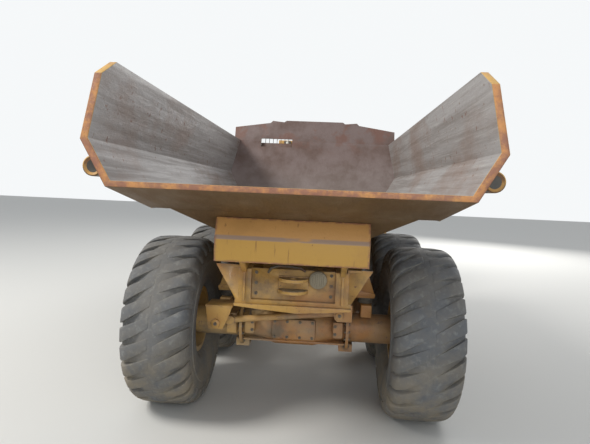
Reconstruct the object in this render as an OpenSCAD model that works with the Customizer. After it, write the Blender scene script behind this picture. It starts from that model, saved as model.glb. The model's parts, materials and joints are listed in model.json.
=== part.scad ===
// Articulated six-wheel dump truck with a hollow hopper body.
// Millimetres. +Y is forward, +X is the truck's right side, +Z is up.
// The origin is on the ground under the middle of the whole truck.

/* [Running gear] */
// Diameter of each tyre over its lugs
tyre_d = 1750; // [1650:10:1800]
// Width of each tyre
tyre_w = 673; // [600:1:700]
// Diameter of the rim's bead seat
rim_d = 640; // [600:5:700]
// Distance between the left and right tyre centres
track = 2515; // [2450:5:2600]
// Front axle to middle axle
wheelbase = 4520; // [4450:10:4700]
// Space between the middle and the rear tyre
bogie_space = 70; // [50:5:200]
// Front axle to the bumper's face
front_overhang = 3070; // [3000:10:3200]
// Rear axle to the tail lip
rear_overhang = 1750; // [1700:10:1850]
// Front axle back to the steering pivot
pivot_back = 1280; // [1250:10:1320]
// Diameter of each axle tube
axle_d = 300; // [260:10:340]
// Diameter of the differential housing
diff_d = 420; // [360:10:480]

/* [Load body] */
// Height of the side rails above the ground
rail_z = 3160; // [3000:10:3300]
// Width over the side rails
rail_w = 2710; // [2600:10:2800]
// Height of the widest line of the sides
knuckle_z = 2580; // [2500:10:2700]
// Width over that widest line
knuckle_w = 2956; // [2860:2:3040]
// Height of the shoulder over the tyres
haunch_z = 2090; // [2060:5:2150]
// Width over the outer edges of that shoulder
haunch_w = 2400; // [2300:10:2500]
// Width over the inner edges of the shoulder
chine_w = 2040; // [1960:10:2120]
// Width of the flat floor
floor_w = 1000; // [900:10:1100]
// Height of the floor's underside
floor_z = 1780; // [1770:5:1800]
// Height of the tail lip's underside
lip_z = 2250; // [2200:5:2300]
// Length of the tail chute behind its bend
chute_len = 640; // [560:10:720]
// Thickness of the body's walls
body_wall = 55; // [40:1:70]
// Space between the body's front wall and the steering pivot
body_gap = 1430; // [1350:10:1500]
// Height of the front wall's middle
head_z = 3540; // [3450:10:3600]

/* [Hinge and frame] */
// Tail lip forward to the tipping hinge
hinge_in = 880; // [850:5:920]
// Height of the tipping hinge
hinge_z = 1800; // [1780:5:1820]
// Diameter of the tipping pins
hinge_pin_d = 80; // [60:5:100]
// Distance between the middles of the frame rails
rail_gap = 910; // [860:10:960]
// Width of one frame rail
frame_rail_w = 120; // [80:10:150]
// Height of the frame rails' top
frame_top_z = 1600; // [1560:10:1650]
// Height of the frame rails' underside
frame_low_z = 1250; // [1200:10:1300]

/* [Articulation] */
// Height of the articulation's axis
hitch_z = 1300; // [1280:5:1340]
// Diameter of the ring tube that turns in the frame's nose
ring_d = 500; // [440:10:540]
// Diameter of the upright pivot pins
pivot_d = 120; // [90:5:140]
// Height between the pivot ears
pivot_h = 680; // [640:10:700]

/* [Cylinders] */
// Bore end diameter of the hoist cylinders
hoist_d = 210; // [180:5:230]
// Diameter of the hoist rods
hoist_rod_d = 110; // [80:5:130]
// Distance between the hoist cylinders
hoist_gap = 1440; // [1400:10:1480]
// Tipping hinge forward to the hoist cylinders' feet
hoist_foot_in = 3900; // [3850:10:3950]
// Height of those feet
hoist_foot_z = 1090; // [1085:5:1110]
// Tipping hinge forward to the hoist rods' eyes
hoist_head_in = 1700; // [1650:10:1750]
// Height of those eyes
hoist_head_z = 1700; // [1690:2:1710]
// Outer diameter of the steering cylinders
steer_d = 120; // [100:5:130]
// Diameter of the steering rods
steer_rod_d = 60; // [50:5:70]

/* [Cab and hood] */
// Width of the cab
cab_w = 1600; // [1500:10:1640]
// Length of the cab
cab_l = 1500; // [1450:10:1550]
// Height of the cab's floor underside
cab_floor_z = 1600; // [1560:10:1650]
// Height of the roof's top
cab_top_z = 3380; // [3300:10:3450]
// Thickness of the cab's walls and door
cab_wall = 60; // [40:5:80]
// Space between the cab and the wheel arches
cab_side_gap = 60; // [40:5:90]
// Thickness of the window panes
glass_t = 10; // [6:1:14]
// Width of the hood
hood_w = 1700; // [1600:10:1760]
// Thickness of the hood's skin
hood_wall = 30; // [20:5:40]

// Depth of the front bumper
bumper_depth = 320; // [280:10:360]

/* [Clearances] */
// Play of a pin or rod in its bore, on the radius
pin_play = 0.05; // [0.02:0.01:0.1]
// Space between parts that move past each other
move_gap = 8; // [6:1:15]
// Space round a part that is fitted in place
fit_gap = 0.3; // [0.2:0.05:0.4]

/* [Hidden] */

bogie_spread = tyre_d + bogie_space;
total_l = front_overhang + wheelbase + bogie_spread + rear_overhang;
tail_y = -total_l / 2;
nose_y = total_l / 2;
front_y = nose_y - front_overhang;
mid_y = front_y - wheelbase;
rear_y = mid_y - bogie_spread;
bogie_y = (mid_y + rear_y) / 2;
pivot_y = front_y - pivot_back;
axle_z = tyre_d / 2;
body_front_y = pivot_y - body_gap;
hinge_y = tail_y + hinge_in;

// Each wheel: name, side, axle position
WHEELS = [
    ["front_left", -1, front_y],
    ["front_right", 1, front_y],
    ["mid_left", -1, mid_y],
    ["mid_right", 1, mid_y],
    ["rear_left", -1, rear_y],
    ["rear_right", 1, rear_y]
];

$fn = 48;

paint = [0.72, 0.54, 0.22];
steel = [0.45, 0.44, 0.43];
dark = [0.16, 0.16, 0.17];
rubber = [0.22, 0.21, 0.20];
glass = [0.55, 0.66, 0.70];

function unit(v) = v / norm(v);

// A closed outline moved inwards by d, with its corners mitred. It runs counter-clockwise.
function inset(p, d) = [
    for (i = [0 : len(p) - 1])
        let (before = unit(p[i] - p[(i + len(p) - 1) % len(p)]))
        let (after = unit(p[(i + 1) % len(p)] - p[i]))
        let (normals = [-before.y - after.y, before.x + after.x])
        p[i] + d * normals / (1 + before * after)
];

// A closed outline from its right half, listed upwards
function both_ways(half) = concat(half, [for (i = [len(half) - 1 : -1 : 0]) [-half[i].x, half[i].y]]);

// A solid whose outline [y, z] runs along X from x0 to x1
module along_x(x0, x1, outline) {
    multmatrix([[0, 0, 1, x0], [1, 0, 0, 0], [0, 1, 0, 0], [0, 0, 0, 1]])
        linear_extrude(x1 - x0) polygon(outline);
}

// A solid whose outline [x, z] runs along Y from y0 to y1
module along_y(y0, y1, outline) {
    translate([0, y1, 0]) rotate([90, 0, 0]) linear_extrude(y1 - y0) polygon(outline);
}

// A box from its lowest corner to its highest
module box(low, high) {
    translate(low) cube(high - low);
}

// A round bar from point a to point b
module bar(a, b, d) {
    v = b - a;
    translate(a)
        rotate([0, acos(v.z / norm(v)), atan2(v.y, v.x)])
            cylinder(d = d, h = norm(v));
}

// A drum on the X axis
module drum(x0, x1, y, z, d) {
    translate([x0, y, z]) rotate([0, 90, 0]) cylinder(d = d, h = x1 - x0);
}

// A drum on the Y axis
module drum_y(x, y0, y1, z, d) {
    translate([x, y1, z]) rotate([90, 0, 0]) cylinder(d = d, h = y1 - y0);
}

module both_sides() {
    children();
    mirror([1, 0, 0]) children();
}

// A ring turned about the X axis from an outline of [radius, x] points
module turned_x(x, y, z, outline) {
    translate([x, y, z]) rotate([0, 90, 0]) rotate_extrude($fn = 96) polygon(outline);
}

// Wheels

tyre_r = tyre_d / 2;
rim_out_r = rim_d / 2;
rim_half = tyre_w * 0.36;

// Half of the tyre's cross-section: radius, distance from its middle
TYRE_SECTION = [
    [rim_out_r + fit_gap, rim_half - 12 - fit_gap],
    [rim_out_r + 30, rim_half - 12 - fit_gap],
    [rim_out_r + 60, rim_half + 22],
    [tyre_r * 0.58, tyre_w * 0.485],
    [tyre_r * 0.70, tyre_w * 0.5],
    [tyre_r * 0.82, tyre_w * 0.49],
    [tyre_r * 0.91, tyre_w * 0.46],
    [tyre_r * 0.975, tyre_w * 0.44],
    [tyre_r, tyre_w * 0.38]
];

module tyre(row) {
    inner = [for (p = TYRE_SECTION) p];
    outer = [for (i = [len(TYRE_SECTION) - 1 : -1 : 0]) [TYRE_SECTION[i].x, -TYRE_SECTION[i].y]];
    color(rubber) turned_x(row[1] * track / 2, row[2], axle_z, concat(inner, outer));
}

hub_d = 440;
web_x = 20;
web_t = 40;
axle_reach = track / 2 + web_x - fit_gap;

// The rim's barrel with its flanges, its web and the planetary hub
module rim(row) {
    barrel = [
        [rim_out_r - 24, -rim_half],
        [rim_out_r + 24, -rim_half],
        [rim_out_r + 24, -rim_half + 12],
        [rim_out_r, -rim_half + 12],
        [rim_out_r, rim_half - 12],
        [rim_out_r + 24, rim_half - 12],
        [rim_out_r + 24, rim_half],
        [rim_out_r - 24, rim_half],
        [hub_d / 2, web_x + web_t],
        [hub_d / 2, tyre_w * 0.40],
        [hub_d / 2 - 40, tyre_w * 0.44],
        [0, tyre_w * 0.44],
        [0, web_x],
        [rim_out_r - 24, web_x]
    ];
    color(paint)
        translate([row[1] * track / 2, row[2], axle_z])
            rotate([0, row[1] * 90, 0]) rotate_extrude($fn = 96) polygon(barrel);
}

// Axles

flange_d = 470;
flange_x = 530;

// A housing with its differential, the brake flanges and their calipers
module axle(y, nose_dir) {
    color(steel) {
        drum(-axle_reach, axle_reach, y, axle_z, axle_d);
        translate([0, y, axle_z])
            rotate([0, 90, 0])
                rotate_extrude($fn = 64)
                    polygon([[0, -420], [axle_d / 2, -420], [diff_d / 2, -200], [diff_d / 2, 200],
                             [axle_d / 2, 420], [0, 420]]);
        drum_y(0, y - (nose_dir < 0 ? 330 : 0), y + (nose_dir > 0 ? 330 : 0), axle_z + 30, 260);
        both_sides() {
            drum(flange_x, flange_x + 30, y, axle_z, flange_d);
            box([flange_x - 60, y - 70, axle_z - flange_d / 2 - 10],
                [flange_x + 80, y + 70, axle_z - flange_d / 2 + 70]);
        }
    }
}

// Bogie

beam_x = 730;
beam_w = 110;
beam_low_z = axle_z + axle_d / 2 - 5;
beam_top_z = beam_low_z + 130;
beam_pivot_z = axle_z + 60;
pad_h = 60;

module walking_beams() {
    outline = [
        [rear_y - 150, beam_low_z],
        [rear_y + 190, beam_low_z],
        [bogie_y - 150, beam_pivot_z - 110],
        [bogie_y + 150, beam_pivot_z - 110],
        [mid_y - 190, beam_low_z],
        [mid_y + 150, beam_low_z],
        [mid_y + 150, beam_top_z],
        [mid_y - 200, beam_top_z],
        [bogie_y + 200, beam_top_z + 40],
        [bogie_y - 200, beam_top_z + 40],
        [rear_y + 200, beam_top_z],
        [rear_y - 150, beam_top_z]
    ];
    color(paint)
        both_sides()
            difference() {
                along_x(beam_x - beam_w / 2, beam_x + beam_w / 2, outline);
                drum(beam_x - beam_w, beam_x + beam_w, bogie_y, beam_pivot_z, beam_pin_d + 2 * pin_play);
                for (y = [mid_y, rear_y]) drum(0, 2 * beam_x, y, axle_z, axle_d + 2 * fit_gap);
            }
}

beam_pin_d = 110;

module rubber_springs() {
    color(dark)
        both_sides()
            for (y = [mid_y, rear_y])
                translate([beam_x, y, beam_top_z + fit_gap]) cylinder(d = 150, h = pad_h - 2 * fit_gap);
}

// Rear frame

rail_x = rail_gap / 2;
rail_in = rail_x - frame_rail_w / 2;
rail_out = rail_x + frame_rail_w / 2;
hinge_reach = 245;
frame_end_y = hinge_y + hinge_reach + 15;
nose_front_y = pivot_y - 630;
nose_back_y = nose_front_y - 350;
housing_d = ring_d + 160;
ear_t = 50;
ear_x = rail_x + 5;
hoist_foot = [hinge_y + hoist_foot_in, hoist_foot_z];
hoist_head = [hinge_y + hoist_head_in, hoist_head_z];
tow_r = 30;
tow_z = 1330;
boss_half = 150;

module rear_frame() {
    rail = [
        [frame_end_y, frame_low_z],
        [nose_back_y - 500, frame_low_z],
        [nose_back_y + 60, hitch_z - housing_d / 2 + 80],
        [nose_back_y + 60, hitch_z + housing_d / 2 - 80],
        [nose_back_y - 700, frame_top_z],
        [frame_end_y + 300, frame_top_z],
        [frame_end_y, frame_top_z - 60]
    ];
    ear = [
        [hinge_y - 60, hinge_z - 80],
        [frame_end_y - 30, frame_top_z - 90],
        [frame_end_y + 360, frame_top_z - 90],
        [frame_end_y + 300, frame_top_z + 60],
        [hinge_y + 80, hinge_z + 75]
    ];
    color(paint)
        difference() {
            union() {
                both_sides() {
                    along_x(rail_in, rail_out, rail);
                    along_x(ear_x - ear_t / 2, ear_x + ear_t / 2, ear);
                    drum(ear_x - ear_t / 2, ear_x + ear_t / 2, hinge_y, hinge_z, 200);
                    drum(ear_x - 105, ear_x + 105, hinge_y, hinge_z, hinge_pin_d);
                    // Flaring gusset beside the frame's end
                    along_y(frame_end_y + 10, frame_end_y + 35,
                            [[rail_out - 10, frame_low_z], [rail_out + 30, frame_low_z],
                             [rail_out + 220, frame_top_z - 30], [rail_out - 10, frame_top_z - 30]]);
                    // Stops over the ends of the walking beams
                    stop_bracket(mid_y, frame_low_z + 30);
                    stop_bracket(rear_y, frame_top_z - 130);
                    // Boss that carries the walking beam
                    along_x(rail_in, beam_x - beam_w / 2 - fit_gap,
                            [[bogie_y - boss_half, axle_z - 60], [bogie_y + boss_half, axle_z - 60],
                             [bogie_y + boss_half, axle_z + 60], [bogie_y + 240, frame_low_z + 20],
                             [bogie_y - 240, frame_low_z + 20], [bogie_y - boss_half, axle_z + 60]]);
                    drum(rail_out, beam_x + beam_w / 2, bogie_y, beam_pivot_z, beam_pin_d);
                    // Foot of the hoist cylinder
                    hoist_foot_bracket();
                }
                // Bowed lower flange and the plate of the frame's end
                box([-rail_out - 30, frame_end_y, frame_low_z - 50], [rail_out + 30, frame_end_y + 260, frame_low_z]);
                box([-rail_in, frame_end_y + 60, frame_low_z], [rail_in, frame_end_y + 90, frame_top_z - 60]);
                // Cross tubes
                for (y = [mid_y + 420, bogie_y, rear_y + 380])
                    drum(-rail_x, rail_x, y, (frame_low_z + frame_top_z) / 2, 220);
                drum_y(230, frame_end_y + 20, frame_end_y + 80, 1460, 160);
                // Nose that holds the articulation ring
                drum_y(0, nose_back_y, nose_front_y, hitch_z, housing_d);
                both_sides()
                    box([housing_d / 2 - 130, nose_back_y - 40, hitch_z - housing_d / 2 + 80],
                        [rail_out, nose_back_y + 60, hitch_z + housing_d / 2 - 80]);
                // Bracket of the cross rod
                box([rail_x - 40, panhard_y - 70, panhard_right.y - 50], [rail_x + 40, panhard_y + 70, frame_low_z]);
            }
            drum_y(0, nose_back_y - 1, nose_front_y + 1, hitch_z, ring_d + 2 * pin_play);
        }
}

tow_plate_r = 140;
tow_plate_t = 30;
tow_plate_gap = 80;

// Two half-moon plates on the frame's end, bored for a tow pin
module tow_hitch() {
    face_y = frame_end_y + 60 - fit_gap;
    plate_y = face_y - tow_plate_r * 0.5;
    color(paint)
        difference() {
            union() {
                for (z = [tow_z, tow_z + tow_plate_t + tow_plate_gap])
                    translate([0, face_y - 30, z]) cylinder(r = tow_plate_r, h = tow_plate_t);
                box([-tow_plate_r, face_y - 20, tow_z - 10],
                    [tow_plate_r, face_y, tow_z + 2 * tow_plate_t + tow_plate_gap + 10]);
            }
            translate([0, plate_y - 30, tow_z - 20])
                cylinder(r = tow_r, h = 2 * tow_plate_t + tow_plate_gap + 40);
            box([-tow_plate_r - 1, face_y, tow_z - 20],
                [tow_plate_r + 1, face_y + 2 * tow_plate_r, tow_z + 300]);
        }
}

panhard_y = rear_y - 330;
panhard_left = [-beam_x + beam_w / 2 + 50, axle_z + 95];
panhard_right = [rail_x - 5, axle_z + 225];
rod_d = 66;

// An A-shaped bracket from the frame rail out over the rubber spring, up to a height on the rail
module stop_bracket(y, top) {
    low = beam_top_z + pad_h;
    h = top - low;
    along_y(y - 80, y + 80,
            [[rail_in, low], [beam_x + 85, low], [beam_x + 85, low + 25], [beam_x + 25, low + h * 0.8],
             [rail_out, top], [rail_in, top]]);
}

hoist_x = hoist_gap / 2;

module hoist_foot_bracket() {
    y = hoist_foot.x;
    z = hoist_foot.y;
    box([rail_out - 10, y - 110, z - 90], [rail_out + 40, y + 110, frame_low_z + 150]);
    drum(rail_out, hoist_x + hoist_d / 2 - 20, y, z, 90);
}

module stay_rods() {
    color(steel) {
        difference() {
            union() {
                bar([panhard_left.x, panhard_y, panhard_left.y],
                    [panhard_right.x, panhard_y, panhard_right.y], rod_d);
                drum_y(panhard_left.x, panhard_y - 45, panhard_y + 45, panhard_left.y, 88);
            }
            box([rail_x - 40 - fit_gap, panhard_y - 70, panhard_right.y - 50 - fit_gap],
                [rail_x + 40, panhard_y + 70, frame_low_z]);
        }
        box([panhard_left.x - 45, panhard_y + 40, axle_z - 50],
            [panhard_left.x + 45, rear_y - axle_d / 2 - fit_gap, axle_z + 150]);
    }
    // Long rods from each axle to the frame's boss
    color(steel)
        both_sides()
            for (end = [[mid_y - axle_d / 2 - fit_gap, bogie_y + boss_half + fit_gap],
                        [rear_y + axle_d / 2 + fit_gap, bogie_y - boss_half - fit_gap]])
                drum_y(rail_x, min(end[0], end[1]), max(end[0], end[1]), axle_z, rod_d);
}

shaft_d = 110;

module propshafts() {
    color(steel) {
        bar([0, rear_y + 330 + fit_gap, axle_z + 30], [0, mid_y - diff_d / 2 - fit_gap, axle_z + 30], shaft_d);
        bar([0, mid_y + 370, axle_z + 30], [0, nose_back_y + 60, hitch_z], shaft_d);
        drum_y(0, rear_y + 330 + fit_gap, rear_y + 400, axle_z + 30, 200);
        drum_y(0, mid_y + 330 + fit_gap, mid_y + 400, axle_z + 30, 200);
    }
}

// Articulation

knuckle_r = 170;
ear_plate_t = 60;
eye_d = 120;
eye_t = 60;
steer_z = hitch_z - 220;
steer_eye = [400, pivot_y - 400];
steer_foot = [500, pivot_y + 1000];
clevis_t = 30;

module hitch() {
    half = pivot_h / 2 - move_gap;
    color(paint)
        difference() {
            union() {
                drum_y(0, nose_back_y + 60, nose_front_y + 30, hitch_z, ring_d);
                drum_y(0, nose_front_y + move_gap, nose_front_y + 80, hitch_z, housing_d);
                box([-knuckle_r, nose_front_y + 70, hitch_z - half], [knuckle_r, pivot_y, hitch_z + half]);
                translate([0, pivot_y, hitch_z - half]) cylinder(r = knuckle_r, h = 2 * half);
                translate([0, pivot_y, hitch_z - pivot_h / 2 - ear_plate_t])
                    cylinder(d = pivot_d, h = pivot_h + 2 * ear_plate_t);
                both_sides()
                    for (z = [steer_z - eye_t / 2 - move_gap - clevis_t, steer_z + eye_t / 2 + move_gap])
                        translate([0, 0, z]) linear_extrude(clevis_t)
                            polygon([[knuckle_r - 20, steer_eye.y - 90], [steer_eye.x + 20, steer_eye.y - 60],
                                     [steer_eye.x + 70, steer_eye.y], [steer_eye.x + 20, steer_eye.y + 60],
                                     [knuckle_r - 20, steer_eye.y + 130]]);
            }
            drum_y(0, nose_back_y, nose_front_y - 60, hitch_z, ring_d - 160);
        }
}

// Front frame

front_rail_in = 340;
front_rail_out = 460;
front_low_z = steer_z + steer_d / 2 + 20;
front_top_z = front_low_z + 360;
fork_y = pivot_y + knuckle_r + 25;
fork_w = 360;
beam_y = [pivot_y + 560, front_y + 480];
front_end_y = nose_y - bumper_depth;
arch_in = cab_w / 2 + cab_side_gap;
deck_x = arch_in;

module front_frame() {
    ear_low = hitch_z - pivot_h / 2 - ear_plate_t;
    ear_high = hitch_z + pivot_h / 2;
    color(paint)
        difference() {
            union() {
                both_sides() {
                    box([front_rail_in, fork_y + 220, front_low_z], [front_rail_out, front_end_y, front_top_z]);
                    // Bracket over the steering cylinder's foot
                    box([front_rail_out - 40, steer_foot.y - 90, front_low_z],
                        [steer_foot.x + 90, steer_foot.y + 90, front_low_z + 50]);
                    translate([steer_foot.x, steer_foot.y, steer_z - eye_t / 2]) cylinder(d = 60, h = 200);
                }
                for (z = [ear_low, ear_high])
                    translate([0, 0, z]) {
                        translate([0, pivot_y, 0]) cylinder(r = knuckle_r - 20, h = ear_plate_t);
                        translate([-knuckle_r + 20, pivot_y, 0])
                            cube([2 * knuckle_r - 40, fork_y - pivot_y + 40, ear_plate_t]);
                    }
                box([-fork_w / 2, fork_y, ear_low], [fork_w / 2, fork_y + 60, ear_high + ear_plate_t]);
                box([-fork_w / 2, fork_y, front_low_z], [fork_w / 2, fork_y + 320, front_top_z]);
                box([-front_rail_out, fork_y + 220, front_low_z], [front_rail_out, fork_y + 320, front_top_z]);
                box([-front_rail_out, front_end_y - 60, front_low_z], [front_rail_out, front_end_y, front_top_z]);
                // Cross beams that carry the cab and the fenders
                for (y = beam_y) box([-deck_x, y, front_top_z], [deck_x, y + 100, cab_floor_z]);
                for (x = HOOD_HINGES) hood_hinge(x);
            }
            translate([0, pivot_y, ear_low - 1])
                cylinder(d = pivot_d + 2 * pin_play, h = ear_high - ear_low + ear_plate_t + 2);
        }
}

// Two plates on the frame's end with the pin that carries an eye of the hood
module hood_hinge(x) {
    for (plate_x = [x - move_gap - lug_plate_t, x + hood_eye_l + move_gap]) {
        along_x(plate_x, plate_x + lug_plate_t,
                [[front_end_y - 50, front_top_z - 20], [front_end_y, front_top_z - 20],
                 [hood_axis.x + 15, hood_axis.y - 20], [hood_axis.x, hood_axis.y],
                 [hood_axis.x - 15, hood_axis.y + 15], [front_end_y - 50, front_top_z + 20]]);
        drum(plate_x, plate_x + lug_plate_t, hood_axis.x, hood_axis.y, hood_eye_d - 10);
    }
    drum(x - move_gap - lug_plate_t, x + hood_eye_l + move_gap + lug_plate_t, hood_axis.x, hood_axis.y,
         hood_pin_d);
}

strut_x = 660;

module front_suspension() {
    color(steel)
        both_sides() {
            translate([strut_x, front_y, axle_z + axle_d / 2 + fit_gap]) cylinder(d = 110, h = 260);
            translate([strut_x, front_y, axle_z + axle_d / 2 + 200]) cylinder(d = 150, h = 260);
            box([front_rail_out, front_y - 70, axle_z + axle_d / 2 + 380],
                [strut_x + 40, front_y + 70, axle_z + axle_d / 2 + 470]);
        }
}

engine_l = 1100;
engine_h = 850;

module engine_block() {
    low = [-front_rail_in, cab_front_y + 20, front_low_z + 20];
    color(steel) box(low, low + [2 * front_rail_in, engine_l, engine_h]);
}

bumper_w = 2500;
bumper_low_z = 800;
bumper_top_z = 1400;

module front_bumper() {
    h = bumper_top_z - bumper_low_z;
    color(dark)
        difference() {
            translate([0, 0, bumper_low_z])
                linear_extrude(h)
                    polygon([[-bumper_w / 2, front_end_y], [bumper_w / 2, front_end_y],
                             [bumper_w / 2, nose_y - 200], [bumper_w / 2 - 260, nose_y],
                             [-bumper_w / 2 + 260, nose_y], [-bumper_w / 2, nose_y - 200]]);
            box([-120, nose_y - 160, bumper_low_z + 150], [120, nose_y + 10, bumper_low_z + 290]);
            translate([0, nose_y - 70, bumper_low_z - 1]) cylinder(r = tow_r, h = h + 2);
        }
}

// Fenders with their decks, steps and grab rails

arch_r = tyre_r + 90;
arch_t = 40;
arch_out = track / 2 + tyre_w / 2 + 6;
deck_z = axle_z + arch_r + arch_t;
deck_t = 30;
step_y = front_y + arch_r + 30;
step_out = arch_out - 6;
step_w = 420;
step_side_t = 25;
rail_pipe_d = 34;
// Grab rail: forward of the axle, height
GRAB_RAIL = [[1330, 1320], [1290, 2000], [560, 2700], [560, 1870]];

function grab_point(i) = [arch_out - 45, front_y + GRAB_RAIL[i].x, GRAB_RAIL[i].y];

module fender() {
    translate([arch_in, front_y, axle_z])
        rotate([0, 90, 0]) rotate([0, 0, 95])
            rotate_extrude(angle = 150, $fn = 96)
                polygon([[arch_r, 0], [arch_r + arch_t, 0], [arch_r + arch_t, arch_out - arch_in],
                         [arch_r, arch_out - arch_in]]);
    box([cab_w / 2 + 15, front_y - 560, deck_z - 8], [arch_out, front_y + 600, deck_z + deck_t]);
    // Inner plate that carries the arch on the cross beams
    intersection() {
        drum(deck_x, deck_x + 30, front_y, axle_z, 2 * arch_r + arch_t);
        box([deck_x, front_y - 900, front_top_z - 40], [deck_x + 30, front_y + 900, deck_z]);
    }
    // Steps ahead of the wheel
    for (x = [step_out - step_w, step_out - step_side_t])
        along_x(x, x + step_side_t,
                [[step_y - 60, 1150], [step_y + 20, 560], [step_y + 270, 560], [step_y + 200, 1420],
                 [step_y - 110, 1420]]);
    for (z = [580, 860, 1140, 1390])
        box([step_out - step_w + 8, step_y + 10, z], [step_out - 8, step_y + 220, z + 30]);
    for (i = [0 : len(GRAB_RAIL) - 2])
        bar(grab_point(i), grab_point(i + 1), rail_pipe_d);
    for (i = [0 : len(GRAB_RAIL) - 2]) translate(grab_point(i)) sphere(d = rail_pipe_d + 4);
    bar(grab_point(0), [grab_point(0).x, step_y + 150, GRAB_RAIL[0].y], rail_pipe_d);
}

module fenders() {
    color(paint) both_sides() fender();
}

tank_w = 640;
tank_l = 995;
tank_h = 580;
tank_y = front_y + arch_r + 90;

module tanks() {
    color(dark)
        both_sides()
            box([front_rail_out + fit_gap, tank_y, front_top_z - 80 - tank_h],
                [front_rail_out + fit_gap + tank_w, tank_y + tank_l, front_top_z - 80]);
}

module exhaust() {
    x = cab_w / 2 + 200;
    y = cab_back_y + 420;
    color(steel) {
        translate([x, y, deck_z + deck_t]) cylinder(d = 90, h = 1250);
        translate([x, y, deck_z + deck_t + 60]) cylinder(d = 220, h = 720);
        bar([x, y, deck_z + deck_t + 1240], [x, y - 90, deck_z + deck_t + 1340], 90);
    }
}

module headlamps() {
    color(glass)
        both_sides()
            translate([bumper_w / 2 - 400, nose_y - 200, bumper_top_z])
                cube([240, 130, 130]);
}

// Cab

cab_back_y = pivot_y + 380;
cab_front_y = cab_back_y + cab_l;
roof_t = 110;
door_y0 = cab_back_y + 330;
door_y1 = door_y0 + 950;
door_z0 = deck_z + deck_t + 40;
door_z1 = cab_top_z - roof_t - 60;
sill_z = cab_floor_z + 760;
pane_top_z = cab_top_z - roof_t - 90;

door_gap = 6;
door_hinge = [-cab_w / 2 - 25, door_y0 + 20];
hinge_eye_d = 36;
hinge_eye_h = 100;
hinge_pin = 16;
strap_h = 30;
DOOR_HINGES = [door_z0 + 200, door_z1 - 300];

CAB_SIDE = [
    [cab_back_y, cab_floor_z],
    [cab_front_y - 100, cab_floor_z],
    [cab_front_y, cab_floor_z + 500],
    [cab_front_y - 180, cab_top_z - roof_t],
    [cab_back_y + 60, cab_top_z - roof_t],
    [cab_back_y, cab_floor_z + 700]
];

// The windows: side, [y0, z0], [y1, z1], seen from that side
module window_cuts() {
    w = cab_w / 2;
    // Windscreen and back window
    box([-w + 110, cab_front_y - 260, sill_z - 40], [w - 110, cab_front_y + 10, pane_top_z]);
    box([-w + 130, cab_back_y - 10, sill_z], [w - 130, cab_back_y + 130, pane_top_z]);
    // Right side windows
    box([w - 100, cab_back_y + 130, sill_z], [w + 10, cab_back_y + 620, pane_top_z]);
    box([w - 100, cab_back_y + 700, sill_z], [w + 10, cab_front_y - 270, pane_top_z]);
    // Left quarter window
    box([-w - 10, cab_back_y + 110, sill_z], [-w + 100, door_y0 - 60, pane_top_z]);
}

module cab_outer() {
    along_x(-cab_w / 2, cab_w / 2, CAB_SIDE);
}

module cab_inner() {
    along_x(-cab_w / 2 + cab_wall, cab_w / 2 - cab_wall, inset(CAB_SIDE, cab_wall));
}

module cab_shell() {
    color(paint) {
        difference() {
            cab_outer();
            cab_inner();
            window_cuts();
            box([-cab_w / 2 - 10, door_y0, door_z0], [-cab_w / 2 + cab_wall + 10, door_y1, door_z1]);
        }
        box([-cab_w / 2 - 10, cab_back_y - 20, cab_top_z - roof_t],
            [cab_w / 2 + 10, cab_front_y - 60, cab_top_z]);
        for (z = DOOR_HINGES) {
            translate([door_hinge.x, door_hinge.y, z - move_gap - strap_h])
                cylinder(d = hinge_pin, h = hinge_eye_h + 2 * (move_gap + strap_h));
            for (strap_z = [z - move_gap - strap_h, z + hinge_eye_h + move_gap]) door_strap(strap_z);
        }
    }
}

// A strap on the cab that holds one end of the door's hinge pin
module door_strap(z) {
    translate([door_hinge.x, door_hinge.y, z]) cylinder(d = hinge_eye_d, h = strap_h);
    box([door_hinge.x - hinge_eye_d / 2, door_hinge.y - 70, z], [door_hinge.x, door_hinge.y, z + strap_h]);
    box([door_hinge.x - hinge_eye_d / 2, door_hinge.y - 70, z],
        [-cab_w / 2 + 1, door_hinge.y - 35, z + strap_h]);
}

// Each pane is what its window cuts out of a thin layer in the middle of the wall.
module cab_glass() {
    color(glass)
        intersection() {
            difference() {
                along_x(-cab_w / 2 + (cab_wall - glass_t) / 2, cab_w / 2 - (cab_wall - glass_t) / 2,
                        inset(CAB_SIDE, (cab_wall - glass_t) / 2));
                along_x(-cab_w / 2 + (cab_wall + glass_t) / 2, cab_w / 2 - (cab_wall + glass_t) / 2,
                        inset(CAB_SIDE, (cab_wall + glass_t) / 2));
            }
            window_cuts();
        }
}

DOOR_PANE = [[door_y0 + 110, sill_z], [door_y1 - 110, door_z1 - 100]];

module cab_door() {
    color(paint) {
        difference() {
            box([-cab_w / 2, door_y0 + door_gap, door_z0 + door_gap],
                [-cab_w / 2 + cab_wall, door_y1 - door_gap, door_z1 - door_gap]);
            box([-cab_w / 2 - 1, DOOR_PANE[0].x, DOOR_PANE[0].y],
                [-cab_w / 2 + cab_wall + 1, DOOR_PANE[1].x, DOOR_PANE[1].y]);
        }
        for (z = DOOR_HINGES)
            difference() {
                union() {
                    translate([door_hinge.x, door_hinge.y, z]) cylinder(d = hinge_eye_d, h = hinge_eye_h);
                    box([door_hinge.x, door_hinge.y - 12, z],
                        [-cab_w / 2 + 1, door_hinge.y + 12, z + hinge_eye_h]);
                }
                translate([door_hinge.x, door_hinge.y, z - 1])
                    cylinder(d = hinge_pin + 2 * pin_play, h = hinge_eye_h + 2);
            }
        box([-cab_w / 2 - 35, door_y1 - 130, sill_z - 160], [-cab_w / 2, door_y1 - 100, sill_z - 20]);
    }
}

module door_glass() {
    color(glass)
        box([-cab_w / 2 + (cab_wall - glass_t) / 2, DOOR_PANE[0].x + fit_gap, DOOR_PANE[0].y + fit_gap],
            [-cab_w / 2 + (cab_wall + glass_t) / 2, DOOR_PANE[1].x - fit_gap, DOOR_PANE[1].y - fit_gap]);
}

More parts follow.
